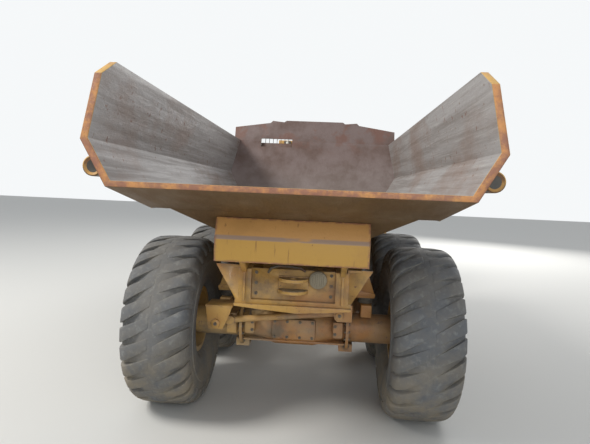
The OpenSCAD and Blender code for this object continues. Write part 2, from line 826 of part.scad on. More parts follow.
module seat() {
    floor = cab_floor_z + cab_wall + fit_gap;
    y = cab_back_y + 260;
    color(dark) {
        box([-170, y + 60, floor], [170, y + 420, floor + 300]);
        box([-260, y, floor + 290], [260, y + 520, floor + 420]);
        along_x(-250, 250, [[y, floor + 400], [y + 130, floor + 400], [y + 30, floor + 1080], [y - 80, floor + 1080]]);
    }
}

module cab_console() {
    floor = cab_floor_z + cab_wall + fit_gap;
    y = cab_front_y - 420;
    color(dark) {
        along_x(-560, 560, [[y, floor + 620], [y + 250, floor + 560], [y + 270, floor + 760], [y + 90, floor + 830]]);
        box([-90, y + 90, floor], [90, y + 230, floor + 700]);
        bar([0, y + 80, floor + 720], [0, y - 120, floor + 860], 60);
        translate([0, y - 120, floor + 860]) rotate([55, 0, 0])
            rotate_extrude($fn = 48) translate([200, 0]) circle(d = 32, $fn = 16);
        translate([0, y - 120, floor + 860]) rotate([55, 0, 0]) box([-195, -20, -8], [195, 20, 8]);
    }
}

module mirrors() {
    x = cab_w / 2 + fit_gap;
    y = cab_front_y - 185;
    color(dark)
        both_sides() {
            bar([x, y, 2950], [x + 520, y, 2950], 36);
            translate([x + 420, y - 10, 2560]) cube([210, 60, 420]);
        }
}

// Hood

hood_back_y = cab_front_y + 60;
hood_front_y = front_end_y + 60;
hood_low_z = front_top_z + 40;
hood_axis = [hood_front_y - 20, hood_low_z - 10];

HOOD_SIDE = [
    [hood_back_y, hood_low_z],
    [hood_front_y, hood_low_z],
    [hood_front_y, hood_low_z + 480],
    [hood_front_y - 160, hood_low_z + 620],
    [hood_back_y, hood_low_z + 900]
];
grille_low_z = hood_low_z + 60;
// Hood hinges: inner face of the eye on the hood
HOOD_HINGES = [-330, 250];
hood_eye_l = 80;
hood_eye_d = 56;
hood_pin_d = 30;
lug_plate_t = 20;
grille_top_z = hood_low_z + 460;

module hood() {
    color(paint) {
        hood_skin();
        for (x = HOOD_HINGES)
            difference() {
                drum(x, x + hood_eye_l, hood_axis.x, hood_axis.y, hood_eye_d);
                drum(x - 1, x + hood_eye_l + 1, hood_axis.x, hood_axis.y, hood_pin_d + 2 * pin_play);
            }
    }
}

module hood_skin() {
    difference() {
        along_x(-hood_w / 2, hood_w / 2, HOOD_SIDE);
        along_x(-hood_w / 2 + hood_wall, hood_w / 2 - hood_wall,
                [[hood_back_y - 10, hood_low_z - 10], [hood_front_y - hood_wall, hood_low_z - 10],
                 [hood_front_y - hood_wall, hood_low_z + 480 - hood_wall / 2],
                 [hood_front_y - 160 - hood_wall / 2, hood_low_z + 620 - hood_wall],
                 [hood_back_y - 10, hood_low_z + 900 - hood_wall]]);
        box([-hood_w / 2 + 180, hood_front_y - hood_wall - 10, grille_low_z],
            [hood_w / 2 - 180, hood_front_y + 10, grille_top_z]);
        // Room for the hinge plates
        for (x = HOOD_HINGES)
            drum(x - 2 * move_gap - lug_plate_t, x + hood_eye_l + 2 * move_gap + lug_plate_t,
                 hood_axis.x, hood_axis.y, hood_eye_d - 10 + 2 * move_gap);
    }
}

slat_count = 7;

module grille() {
    w = hood_w / 2 - 180 - fit_gap;
    pitch = (grille_top_z - grille_low_z) / slat_count;
    y0 = hood_front_y - hood_wall;
    color(dark) {
        both_sides()
            box([w - 30, y0, grille_low_z + fit_gap], [w, hood_front_y, grille_top_z - fit_gap]);
        for (i = [0 : slat_count - 1])
            along_x(-w + 20, w - 20,
                    [[y0, grille_low_z + pitch * (i + 0.55)], [hood_front_y, grille_low_z + pitch * (i + 0.15)],
                     [hood_front_y, grille_low_z + pitch * (i + 0.4)], [y0, grille_low_z + pitch * (i + 0.8)]]);
    }
}

// Load body

bend_y = tail_y + chute_len;
hopper_y = bend_y + 590;
corner_cut = [180, 120];
head_lean = 420;
head_w = 2810;
head_corner_z = rail_z + 235;
head_low_z = knuckle_z + 350;
head_plate_t = 75;
head_step = 15;

// Half of the hopper's cross-section from the floor up: x, z
HOPPER_HALF = [
    [floor_w / 2, floor_z],
    [chine_w / 2, haunch_z - 5],
    [haunch_w / 2, haunch_z],
    [knuckle_w / 2, knuckle_z],
    [rail_w / 2, rail_z]
];
HOPPER = both_ways(HOPPER_HALF);

// The body seen from its side: y, z
HOPPER_SIDE = [
    [tail_y, lip_z],
    [bend_y, haunch_z],
    [hopper_y, floor_z],
    [body_front_y - head_lean, floor_z],
    [body_front_y - head_lean * 0.1, rail_z],
    [tail_y + corner_cut.x, rail_z],
    [tail_y, rail_z - corner_cut.y]
];

// Half of the front wall's outline above the hopper: x, z
HEAD_HALF = [
    [head_w / 2, head_low_z],
    [head_w / 2, head_corner_z],
    [head_w / 2 - 620, head_z - 50],
    [head_w / 2 - 660, head_z - 10],
    [540, head_z - 30],
    [500, head_z]
];
SLOT = [[-930, rail_z - 105], [-380, rail_z + 45]];

module hopper_block(section, side_view) {
    intersection() {
        along_y(tail_y - 100, body_front_y + 100, section);
        along_x(-knuckle_w, knuckle_w, side_view);
    }
}

module dump_body() {
    inner_section = inset(HOPPER, body_wall);
    top = len(HOPPER_HALF);
    // The inside runs out through the open top and the open tail.
    inner_half = [for (i = [0 : top - 1]) inner_section[i]];
    open_half = concat([for (i = [0 : top - 2]) inner_half[i]],
                       [[rail_w / 2 - body_wall, rail_z], [rail_w / 2 - body_wall, head_z + 10]]);
    open_section = both_ways(open_half);
    inner_side = inset(HOPPER_SIDE, body_wall);
    open_side = [
        [tail_y - 50, inner_side[0].y + 13],
        inner_side[1],
        inner_side[2],
        inner_side[3],
        [inner_side[4].x + (head_z + 10 - rail_z) * 0.26, head_z + 10],
        [tail_y - 50, head_z + 10]
    ];
    color(paint)
        difference() {
            union() {
                hopper_block(HOPPER, HOPPER_SIDE);
                // Front wall above the rails
                intersection() {
                    along_y(body_front_y - head_lean - 200, body_front_y + 200, both_ways(HEAD_HALF));
                    along_x(-head_w, head_w, head_slab());
                }
                both_sides() {
                    // Round stiffener along the lower slope
                    drum_y((haunch_w + knuckle_w) / 4 + 70, tail_y + 70, body_front_y - 300,
                           (haunch_z + knuckle_z) / 2 + 60, 150);
                    // Bearers that rest on the frame
                    box([rail_x - 40, frame_end_y + 400, frame_top_z + fit_gap],
                        [rail_x + 40, body_front_y - head_lean - 60, floor_z + 10]);
                    // Clevis of the hoist rod
                    hoist_clevis();
                }
            }
            intersection() {
                along_y(tail_y - 100, body_front_y + 100, open_section);
                along_x(-knuckle_w, knuckle_w, open_side);
            }
            box([SLOT[0].x, body_front_y - head_lean, SLOT[0].y], [SLOT[1].x, body_front_y + 200, SLOT[1].y]);
        }
}

// The leaning slab of the front wall, seen from its side
function head_slab() =
    let (run = (body_front_y - head_lean * 0.1 - (body_front_y - head_lean)) / (rail_z - floor_z))
    let (base = body_front_y - head_lean)
    [for (p = [[head_step - head_plate_t, head_low_z], [head_step, head_low_z], [head_step, head_z],
               [head_step - head_plate_t, head_z]])
        [base + run * (p.y - floor_z) + p.x, p.y]];

clevis_gap = hoist_rod_d + 2 * move_gap;

module hoist_clevis() {
    y = hoist_head.x;
    z = hoist_head.y;
    for (x = [hoist_x - clevis_gap / 2 - 30, hoist_x + clevis_gap / 2])
        difference() {
            along_x(x, x + 30, [[y - 60, z - 70], [y + 60, z - 70], [y + 170, haunch_z], [y - 170, haunch_z]]);
            along_y(y - 300, y + 300,
                    [HOPPER_HALF[0], [floor_w / 2, haunch_z + 200], [chine_w / 2, haunch_z + 200],
                     HOPPER_HALF[1]]);
        }
}

tail_box_w = 1300;
plate_t = 25;
lug_t = 30;

module tail_box() {
    face_y = tail_y + chute_len + 40;
    low = hinge_z - 135;
    fold = hinge_z + 55;
    face = [[face_y, low], [face_y + plate_t, low], [face_y + plate_t, fold - 3],
            [face_y + 80 + plate_t, haunch_z - 75], [face_y + 80, haunch_z - 70], [face_y, fold]];
    lug = [[hinge_y - 70, hinge_z], [hinge_y + 70, hinge_z], [hinge_y + 120, 1990],
           [hinge_y + 120, 2050], [face_y + 70, 2050], [face_y + 20, fold - 40]];
    color(paint)
        difference() {
            union() {
                along_x(-tail_box_w / 2, tail_box_w / 2, face);
                both_sides() {
                    for (x = [ear_x - ear_t / 2 - move_gap - lug_t, ear_x + ear_t / 2 + move_gap]) {
                        along_x(x, x + lug_t, lug);
                        drum(x, x + lug_t, hinge_y, hinge_z, 180);
                    }
                    along_x(tail_box_w / 2 - plate_t, tail_box_w / 2,
                            [[face_y, low], [hinge_y + 60, low + 70], [hinge_y + 120, 1990],
                             [face_y + 80, haunch_z - 70], [face_y, fold]]);
                }
            }
            drum(-tail_box_w, tail_box_w, hinge_y, hinge_z, hinge_pin_d + 2 * pin_play);
            body_underside();
        }
}

// Everything above the underside of the load body
module body_underside() {
    along_x(-knuckle_w, knuckle_w,
            [[tail_y, lip_z], [bend_y, haunch_z], [hopper_y, floor_z], [hopper_y + 500, floor_z],
             [hopper_y + 500, head_z], [tail_y, head_z]]);
}

// Cylinders

// A barrel with its eye at the origin, lying along +X, bored for its rod
module barrel(length, d, rod_d, eye_d, eye_t, pin_d) {
    difference() {
        union() {
            translate([eye_d / 2 - 10, 0, 0]) rotate([0, 90, 0]) cylinder(d = d, h = length - eye_d / 2 + 10);
            translate([length - 60, 0, 0]) rotate([0, 90, 0]) cylinder(d = d + 10, h = 60);
            translate([0, 0, -eye_t / 2]) cylinder(d = eye_d, h = eye_t);
        }
        translate([eye_d / 2 + 30, 0, 0]) rotate([0, 90, 0]) cylinder(d = rod_d + 2 * pin_play, h = length);
        translate([0, 0, -eye_t]) cylinder(d = pin_d + 2 * pin_play, h = 2 * eye_t);
    }
}

// A rod from a to b along +X with its eye centred on b
module rod(a, b, d, eye_d, eye_t) {
    translate([a, 0, 0]) rotate([0, 90, 0]) cylinder(d = d, h = b - a - eye_d / 2 + 10);
    translate([b, 0, -eye_t / 2]) cylinder(d = eye_d, h = eye_t);
}

hoist_run = norm(hoist_head - hoist_foot);
hoist_angle = atan2(hoist_head.y - hoist_foot.y, hoist_foot.x - hoist_head.x);
hoist_barrel_l = hoist_run - 240;
steer_run = norm(steer_foot - steer_eye);
steer_angle = atan2(steer_foot.x - steer_eye.x, steer_foot.y - steer_eye.y);
steer_barrel_l = 800;

// Puts a cylinder drawn along +X at the hoist's foot, pointing back and up, with its eyes on the X axis
module hoist_place() {
    both_sides()
        translate([hoist_x, hoist_foot.x, hoist_foot.y])
            rotate([-hoist_angle, 0, 0])
                multmatrix([[0, 0, 1, 0], [-1, 0, 0, 0], [0, 1, 0, 0], [0, 0, 0, 1]]) children();
}

module hoist_barrels() {
    color(paint) hoist_place() barrel(hoist_barrel_l, hoist_d, hoist_rod_d, 190, 110, 90);
}

module hoist_rods() {
    color(steel) hoist_place() rod(150, hoist_run, hoist_rod_d, 150, 100);
}

// Puts a cylinder drawn along +X at the steering foot, pointing back at the hitch
module steer_place(side) {
    mirror([side < 0 ? 1 : 0, 0, 0])
        translate([steer_foot.x, steer_foot.y, steer_z]) rotate([0, 0, -90 - steer_angle]) children();
}

module steer_barrel(side) {
    color(paint) steer_place(side) barrel(steer_barrel_l, steer_d, steer_rod_d, eye_d, eye_t, 60);
}

module steer_rod(side) {
    color(steel) steer_place(side) rod(450, steer_run, steer_rod_d, 90, eye_t - 10);
}

rear_frame();
tow_hitch();
axle(mid_y, 1);  // axle_mid
axle(rear_y, 1);  // axle_rear
walking_beams();
rubber_springs();
stay_rods();
propshafts();
hitch();
front_frame();
axle(front_y, -1);  // axle_front
front_suspension();
engine_block();
front_bumper();
fenders();
tanks();
exhaust();
headlamps();
cab_shell();
cab_glass();
cab_door();
door_glass();
seat();
cab_console();
mirrors();
hood();
grille();
dump_body();
tail_box();
hoist_barrels();
hoist_rods();
steer_barrel(-1);  // steer_barrel_left
steer_rod(-1);  // steer_rod_left
steer_barrel(1);  // steer_barrel_right
steer_rod(1);  // steer_rod_right
for (row = WHEELS) {
    tyre(row);
    rim(row);
}
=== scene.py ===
# %% [markdown]
# The articulated dump truck comes in as a fixed frame of named parts, in metres,
# with the ground at z = 0, the front along +Y and the truck's right side along +X.
# This lesson gives those parts their finish and adds the forms that a plain frame
# leaves out: lugs, bolts, covers, seams, latches. Nothing here moves a part.

# %% Load the frame
import json
import math

import bmesh
import bpy
from mathutils import Matrix, Vector

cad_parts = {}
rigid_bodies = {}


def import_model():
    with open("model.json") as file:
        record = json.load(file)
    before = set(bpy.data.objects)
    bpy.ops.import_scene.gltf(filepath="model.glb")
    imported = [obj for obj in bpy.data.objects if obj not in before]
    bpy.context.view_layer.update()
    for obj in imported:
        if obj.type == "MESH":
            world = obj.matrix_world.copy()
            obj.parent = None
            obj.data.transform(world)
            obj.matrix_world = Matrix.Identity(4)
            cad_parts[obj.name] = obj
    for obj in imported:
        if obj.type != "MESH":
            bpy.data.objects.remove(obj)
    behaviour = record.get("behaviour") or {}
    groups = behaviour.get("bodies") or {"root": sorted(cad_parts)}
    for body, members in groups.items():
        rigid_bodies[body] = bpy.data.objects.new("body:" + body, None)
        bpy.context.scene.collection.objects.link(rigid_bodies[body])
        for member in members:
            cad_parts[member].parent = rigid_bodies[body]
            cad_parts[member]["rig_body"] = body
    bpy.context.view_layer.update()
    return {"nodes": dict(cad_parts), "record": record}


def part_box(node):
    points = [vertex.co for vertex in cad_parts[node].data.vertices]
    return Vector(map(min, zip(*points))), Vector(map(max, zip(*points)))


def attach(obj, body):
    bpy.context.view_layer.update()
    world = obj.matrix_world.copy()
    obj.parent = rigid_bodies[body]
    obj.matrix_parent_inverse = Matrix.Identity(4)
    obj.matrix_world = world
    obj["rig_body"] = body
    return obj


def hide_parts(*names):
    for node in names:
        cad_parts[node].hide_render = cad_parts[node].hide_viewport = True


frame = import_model()

# %% [markdown]
# A camera that matches a photograph needs a place, a direction and an opening
# angle. The place and the angles were found from edges of the body and the frame
# that run along the truck and meet in one vanishing point. The camera stood behind
# the tail at a tall person's reach and was held a little turned.

# %% Camera
CAMERA_PLACE = Vector((0.273, -8.91, 2.265))
YAW_LEFT = math.radians(3.6)
PITCH_DOWN = math.radians(3.45)
ROLL = math.radians(2.5)
LENS_MM = 29.6
SENSOR_MM = 36


def placed(name, data):
    """A new object in the scene that holds the data."""
    obj = bpy.data.objects.new(name, data)
    bpy.context.scene.collection.objects.link(obj)
    return obj


forward = Vector((-math.sin(YAW_LEFT) * math.cos(PITCH_DOWN),
                  math.cos(YAW_LEFT) * math.cos(PITCH_DOWN),
                  -math.sin(PITCH_DOWN)))
level_right = Vector((math.cos(YAW_LEFT), math.sin(YAW_LEFT), 0))
level_up = level_right.cross(forward)
right = math.cos(ROLL) * level_right + math.sin(ROLL) * level_up
up = math.cos(ROLL) * level_up - math.sin(ROLL) * level_right

camera_data = bpy.data.cameras.new("camera")
camera_data.sensor_width = SENSOR_MM
camera_data.lens = LENS_MM
camera = placed("camera", camera_data)
camera.matrix_world = Matrix.Translation(CAMERA_PLACE) @ Matrix((right, up, -forward)).transposed().to_4x4()
bpy.context.scene.camera = camera
print("camera at", tuple(round(v, 2) for v in CAMERA_PLACE), "looking along", tuple(round(v, 2) for v in forward))

# %% [markdown]
# Plain studio light: one large lamp high on the left, two weaker ones that open the
# shade, and a pale world. Only rays that look at the background see it white, so
# the background adds no light to the truck.

# %% Light, floor and background
FLOOR_SIZE = 120


def lamp(name, place, target, size, power, colour):
    data = bpy.data.lights.new(name, "AREA")
    data.shape = "DISK"
    data.size, data.energy, data.color = size, power, colour
    obj = placed(name, data)
    obj.location = place
    obj.rotation_euler = (Vector(target) - Vector(place)).to_track_quat("-Z", "Y").to_euler()


def as_mesh(name, shape):
    """The mesh of a finished shape, which is let go."""
    mesh = bpy.data.meshes.new(name)
    shape.to_mesh(mesh)
    shape.free()
    return mesh


lamp("key_lamp", (-11, -9, 13), (0, -2, 1.5), 6, 2300, (1.0, 0.97, 0.92))
lamp("rear_fill", (3, -16, 5), (0, -4, 1.5), 8, 420, (0.94, 0.97, 1.0))
lamp("front_fill", (8, 15, 9), (0, 2, 1.5), 8, 1700, (1.0, 0.98, 0.95))

world = bpy.data.worlds.new("studio")
world.use_nodes = True
bpy.context.scene.world = world
sky = world.node_tree
lights, seen = sky.nodes["Background"], sky.nodes.new("ShaderNodeBackground")
for backdrop, colour, strength in ((lights, (0.88, 0.91, 0.95, 1), 0.62), (seen, (0.92, 0.94, 0.95, 1), 1)):
    backdrop.inputs["Color"].default_value = colour
    backdrop.inputs["Strength"].default_value = strength
path = sky.nodes.new("ShaderNodeLightPath")
any_view = path.outputs["Is Camera Ray"]
for ray in ("Is Glossy Ray", "Is Transmission Ray"):
    either = sky.nodes.new("ShaderNodeMath")
    either.operation = "MAXIMUM"
    sky.links.new(any_view, either.inputs[0])
    sky.links.new(path.outputs[ray], either.inputs[1])
    any_view = either.outputs[0]
blend = sky.nodes.new("ShaderNodeMixShader")
for source, target in ((any_view, blend.inputs["Fac"]), (lights.outputs[0], blend.inputs[1]),
                       (seen.outputs[0], blend.inputs[2]),
                       (blend.outputs[0], sky.nodes["World Output"].inputs["Surface"])):
    sky.links.new(source, target)

floor_shape = bmesh.new()
bmesh.ops.create_grid(floor_shape, x_segments=1, y_segments=1, size=FLOOR_SIZE / 2)
floor = placed("floor", as_mesh("floor", floor_shape))
floor_finish = bpy.data.materials.new("pale_floor")
floor_finish.use_nodes = True
floor_bsdf = floor_finish.node_tree.nodes["Principled BSDF"]
floor_bsdf.inputs["Base Color"].default_value = (0.60, 0.60, 0.58, 1)
floor_bsdf.inputs["Roughness"].default_value = 0.9
floor.data.materials.append(floor_finish)
bpy.context.scene.view_settings.view_transform = "Standard"
print("light, floor and background made")

# %% [markdown]
# Every finish is made of the same few steps: a pattern in object space, a range
# that turns it into a mask, and a mix of two colours. Small helpers keep each
# finish short. Colours are written as the eye reads them and turned into the
# linear values that a shader wants. The edge mask compares the surface with a
# rounded copy of itself, so wear and rust sit on edges wherever they are.

# %% Finish helpers


def linear(red, green, blue):
    """Linear values of a colour given from 0 to 255, as a picture shows it."""
    return tuple((c / 255 / 12.92 if c < 11 else ((c / 255 + 0.055) / 1.055) ** 2.4)
                 for c in (red, green, blue)) + (1,)


def darker(colour, share):
    return tuple(c * share for c in colour[:3]) + (1,)


class Finish:
    """A material that is built up one step at a time."""

    def __init__(self, name, metallic=0.0, coat=0.0):
        self.material = bpy.data.materials.new(name)
        self.material.use_nodes = True
        self.tree = self.material.node_tree
        self.bsdf = self.tree.nodes["Principled BSDF"]
        self.bsdf.inputs["Metallic"].default_value = metallic
        self.bsdf.inputs["Coat Weight"].default_value = coat
        self.where = self.node("TexCoord")
        self.place = self.where.outputs["Object"]

    def node(self, kind):
        return self.tree.nodes.new("ShaderNode" + kind)

    def link(self, source, target):
        """Joins two sockets, or sets the target to a plain value."""
        if isinstance(source, (int, float, tuple, Vector)):
            target.default_value = source
        else:
            self.tree.links.new(source, target)

    def ranged(self, value, low, high, to_low=0.0, to_high=1.0):
        node = self.node("MapRange")
        node.interpolation_type = "SMOOTHSTEP"
        for name, number in (("From Min", low), ("From Max", high), ("To Min", to_low), ("To Max", to_high)):
            node.inputs[name].default_value = number
        self.link(value, node.inputs["Value"])
        return node.outputs["Result"]

    def cloud(self, scale, low, high, stretch=(1, 1, 1), detail=6.0, rough=0.6):
        """A mask from noise: 0 below low, 1 above high."""
        mapping = self.node("Mapping")
        mapping.inputs["Scale"].default_value = stretch
        self.link(self.place, mapping.inputs["Vector"])
        node = self.node("TexNoise")
        for name, value in (("Scale", scale), ("Detail", detail), ("Roughness", rough)):
            node.inputs[name].default_value = value
        self.link(mapping.outputs["Vector"], node.inputs["Vector"])
        return self.ranged(node.outputs["Fac"], low, high)

    def along(self, source, name, *limits):
        node = self.node("SeparateXYZ")
        self.link(source, node.inputs[0])
        return self.ranged(node.outputs[name], *limits)

    def axis(self, name, *limits):
        """A mask along one axis of the truck."""
        return self.along(self.place, name, *limits)

    def facing(self, name, *limits):
        """A mask from where the surface faces: X, Y or Z."""
        return self.along(self.where.outputs["Normal"], name, *limits)

    def vector(self, operation, first, second, out):
        node = self.node("VectorMath")
        node.operation = operation
        self.link(first, node.inputs[0])
        self.link(second, node.inputs[1])
        return node.outputs[out]

    def edges(self, radius, low=0.80, high=0.985):
        """1 on edges, 0 on flat faces."""
        bevel = self.node("Bevel")
        bevel.samples = 4
        bevel.inputs["Radius"].default_value = radius
        true_normal = self.node("NewGeometry").outputs["Normal"]
        return self.ranged(self.vector("DOT_PRODUCT", bevel.outputs["Normal"], true_normal, "Value"),
                           low, high, 1.0, 0.0)

    def calc(self, operation, first, second):
        node = self.node("Math")
        node.operation = operation
        node.use_clamp = operation != "SUBTRACT"
        self.link(first, node.inputs[0])
        self.link(second, node.inputs[1])
        return node.outputs[0]

    def both(self, first, second):
        return self.calc("MULTIPLY", first, second)

    def either(self, first, second):
        return self.calc("MAXIMUM", first, second)

    def mix(self, mask, first, second):
        """Colour: first where the mask is 0, second where it is 1."""
        node = self.node("Mix")
        node.data_type = "RGBA"
        self.link(mask, node.inputs["Factor"])
        self.link(first, node.inputs[6])
        self.link(second, node.inputs[7])
        return node.outputs[2]

    def layered(self, colour, *layers):
        """A colour with others over it, each by its mask and, if given, its share."""
        for mask, upper, *share in layers:
            colour = self.mix(self.both(mask, share[0]) if share else mask, colour, upper)
        return colour

    def finish(self, colour, rough, height, depth=0.0):
        """Rough is a base, a mask, and what is added where the mask is 1."""
        base, mask, more = rough
        self.link(colour, self.bsdf.inputs["Base Color"])
        self.link(self.calc("ADD", self.both(mask, more), base), self.bsdf.inputs["Roughness"])
        if depth:
            bump = self.node("Bump")
            bump.inputs["Distance"].default_value = depth
            bump.inputs["Strength"].default_value = 0.6
            self.link(height, bump.inputs["Height"])
            self.link(bump.outputs["Normal"], self.bsdf.inputs["Normal"])
        return self.material


print("finish helpers ready")

# %% [markdown]
# Site paint is never one colour. The deep yellow fades in patches, dust settles
# low on the machine and on what faces up, edges wear to primer and rust, and rust
# runs down from them. Each of those is one mask, laid over the last.

# %% Paint and steel
YELLOW = linear(184, 142, 66)
FADED = linear(198, 158, 90)
DEEP = linear(158, 104, 46)
PRIMER = linear(158, 128, 112)
RUST = linear(104, 60, 36)
DUST = linear(150, 136, 114)
MUD = linear(132, 122, 104)


def worn_paint(name, wear, dust_top, deep=0.35, grime_and_shade=0.2):
    """Yellow paint that fades, chips, rusts at its edges and takes dust up to a height; its dark brown patches are dirt
    and, where their share is large, painted shade.
    """
    f = Finish(name, coat=0.04)
    worn_edge = f.both(f.edges(0.012), f.cloud(9.0, 0.50 - wear, 0.56 - wear, detail=8.0, rough=0.7))
    bare = f.either(f.cloud(11.0, 0.68 - wear, 0.73 - wear, detail=9.0, rough=0.75), worn_edge)
    dust = f.both(f.cloud(2.2, 0.25, 0.75, detail=8.0),
                  f.either(f.axis("Z", 0.4, dust_top, 0.85, 0.08), f.both(f.facing("Z", 0.5, 0.95), 0.7)))
    colour = f.layered(
        # The deep brown and the dark brown patches are tone and dirt; where their shares are large, on the frame and
        # axles, they are also painted shade.
        YELLOW, (f.cloud(1.1, 0.38, 0.66), FADED), (f.cloud(0.9, 0.45, 0.62, detail=4.0), DEEP, deep),
        (f.cloud(6.0, 0.58, 0.72, stretch=(4, 4, 0.4), detail=5.0), RUST, 0.3),
        (f.cloud(3.2, 0.46, 0.70, detail=8.0), linear(92, 74, 54), grime_and_shade),
        (f.cloud(34.0, 0.63, 0.68, detail=5.0), RUST, 0.5), (bare, PRIMER),
        (bare, RUST, f.cloud(22.0, 0.46, 0.56, detail=7.0)), (dust, DUST))
    return f.finish(colour, (0.5, dust, 0.3), f.calc("SUBTRACT", f.cloud(40.0, 0.3, 0.7), bare), 0.0014)


def dirty_metal(name, base, dust_top, rust_share, metallic=0.3):
    """Dark greasy metal with rust spots and dried mud."""
    f = Finish(name, metallic=metallic)
    mud = f.both(f.cloud(3.0, 0.35, 0.62, detail=8.0), f.axis("Z", 0.3, dust_top, 0.9, 0.2))
    colour = f.layered(
        base, (f.cloud(1.8, 0.3, 0.7), darker(base, 0.72)),
        (f.cloud(6.0, 1 - rust_share, 1 - rust_share + 0.12, detail=9.0, rough=0.75), RUST),
        (f.edges(0.010), linear(150, 138, 120), 0.4), (mud, MUD))
    height = f.calc("ADD", f.cloud(28.0, 0.3, 0.8, detail=8.0), f.both(mud, 0.5))
    return f.finish(colour, (0.5, mud, 0.3), height, 0.003)


PAINT = worn_paint("worn_yellow_paint", 0.0, 1.7)
BOX_PAINT = worn_paint("rubbed_box_paint", 0.05, 1.6, deep=0.15, grime_and_shade=0.1)
# The frame and axles sit under the body: their large shares of deep brown and dark patches are dirt and also painted
# shade.
FRAME_PAINT = worn_paint("frame_paint_with_dirt_and_painted_shade", 0.06, 1.5, deep=0.9, grime_and_shade=0.75)
AXLE_PAINT = worn_paint("axle_paint_with_dirt_and_painted_shade", 0.08, 1.7, deep=1.0, grime_and_shade=1.0)
IRON = dirty_metal("muddy_iron", linear(84, 76, 66), 1.6, 0.45)
DARK_METAL = dirty_metal("dark_painted_steel", linear(54, 53, 52), 1.3, 0.34, 0.1)
PALE_METAL = dirty_metal("pale_worn_steel", linear(150, 142, 122), 1.0, 0.36, 0.4)
EXHAUST_METAL = dirty_metal("heat_stained_steel", linear(120, 104, 92), 1.5, 0.46, 0.6)
print("paint and steel made")

# %% [markdown]
# The load body has two faces in one solid: paint outside, and steel inside that
# every load scours. The inside is found from the surface itself: it is where the
# surface's own direction points at the middle of the hopper. Scratches run along
# the walls, the way the load slides out, and the front wall is a darker brownish
# grey, rusty at the top and paler towards its foot.

# %% Load body
HOPPER_MIDDLE = (0, -2.6, 2.75)
HOPPER_FLOOR_Z = 1.80
FRONT_WALL_Y = -0.9


def body_finish():
    f = Finish("worn_body_paint_and_steel")
    towards = f.vector("SUBTRACT", HOPPER_MIDDLE, f.place, "Vector")
    points_in = f.ranged(f.vector("DOT_PRODUCT", towards, f.where.outputs["Normal"], "Value"), -0.06, 0.06)
    inside = f.both(points_in, f.axis("Z", HOPPER_FLOOR_Z, HOPPER_FLOOR_Z + 0.02))
    on_front = f.both(f.axis("Y", FRONT_WALL_Y, FRONT_WALL_Y + 0.25), f.facing("Y", -0.3, -0.7))
    on_rim = f.either(f.both(f.facing("Y", -0.80, -0.95), f.axis("Y", -5.2, -5.3)),
                      f.both(f.facing("Z", 0.80, 0.95), f.axis("Z", 3.0, 3.1)))
    edge = f.edges(0.020, 0.75, 0.98)
    outside = f.layered(
        # Faces that point down get a dark brown: painted shade under the body.
        YELLOW, (f.cloud(1.1, 0.35, 0.7), FADED), (f.facing("Z", 0.1, -0.25), linear(72, 50, 28), 0.9),
        (f.cloud(5.0, 0.56, 0.72, stretch=(3, 3, 0.4)), RUST, 0.4),
        (f.cloud(9.0, 0.62, 0.67, detail=9.0, rough=0.78), RUST), (f.cloud(2.0, 0.4, 0.8), DUST, 0.3))
    scuff = f.both(f.calc("ADD", f.both(edge, 0.7), 0.34), f.cloud(7.0, 0.38, 0.58, detail=9.0, rough=0.72))
    rim = f.layered(
        linear(200, 146, 84), (f.cloud(1.6, 0.35, 0.65), linear(184, 126, 76)),
        (f.calc("ADD", scuff, scuff), linear(116, 78, 76)), (edge, RUST, f.cloud(16.0, 0.48, 0.56, detail=8.0)))
    streaks = f.cloud(2.4, 0.38, 0.66, stretch=(3.0, 0.18, 5.0), detail=9.0)
    steel = f.layered(
        linear(146, 142, 140), (streaks, linear(124, 118, 114)),
        (f.cloud(16.0, 0.50, 0.70, stretch=(2.0, 0.10, 4.0)), linear(172, 168, 164), 0.5),
        (f.cloud(1.5, 0.46, 0.66, stretch=(1, 0.6, 1), detail=8.0), linear(118, 92, 76), 0.5),
        (f.cloud(13.0, 0.62, 0.68, detail=9.0), RUST, 0.7))
    # The front wall's inside: a darker brownish grey, rusty at the top and paler towards its foot.
    front = f.layered(
        linear(108, 92, 88), (f.cloud(2.2, 0.40, 0.66, detail=8.0), linear(86, 66, 58)),
        (f.axis("Z", 2.9, 3.3), linear(104, 74, 64), f.cloud(3.0, 0.48, 0.60, detail=8.0)),
        (f.axis("Z", 2.9, 2.0), linear(134, 124, 118), 0.55))
    colour = f.layered(outside, (inside, f.mix(on_front, steel, front)), (on_rim, rim))
    height = f.cloud(13.0, 0.3, 0.8, stretch=(1, 0.4, 1), detail=9.0, rough=0.7)
    return f.finish(colour, (0.5, streaks, 0.15), height, 0.005)


BODY_FINISH = body_finish()
print("load body finish made")

# %% [markdown]
# Rubber that works in mud turns grey-brown, darker where it flexes and pale where
# dust dries low on the wheel. Glass is clear with a little dirt at the edges. A
# cylinder rod is the one thing on the machine that is always clean and bright.

# %% Rubber, glass, chrome and trim


def rubber_finish(name, base, dusty, low_top=1.0):
    f = Finish(name)
    dust = f.both(f.both(f.cloud(3.5, 0.28, 0.66, detail=9.0, rough=0.7), dusty),
                  f.axis("Z", low_top - 0.7, low_top, 1.0, 0.35))
    colour = f.layered(
        base, (f.cloud(1.5, 0.3, 0.7), darker(base, 0.75)), (f.cloud(22.0, 0.5, 0.7), linear(140, 142, 140), 0.35),
        (dust, MUD), (f.both(f.edges(0.03, 0.6, 0.98), f.cloud(6.0, 0.35, 0.6)), linear(146, 138, 118), 0.45))
    return f.finish(colour, (0.74, dust, 0.15), f.cloud(45.0, 0.3, 0.8), 0.0025)


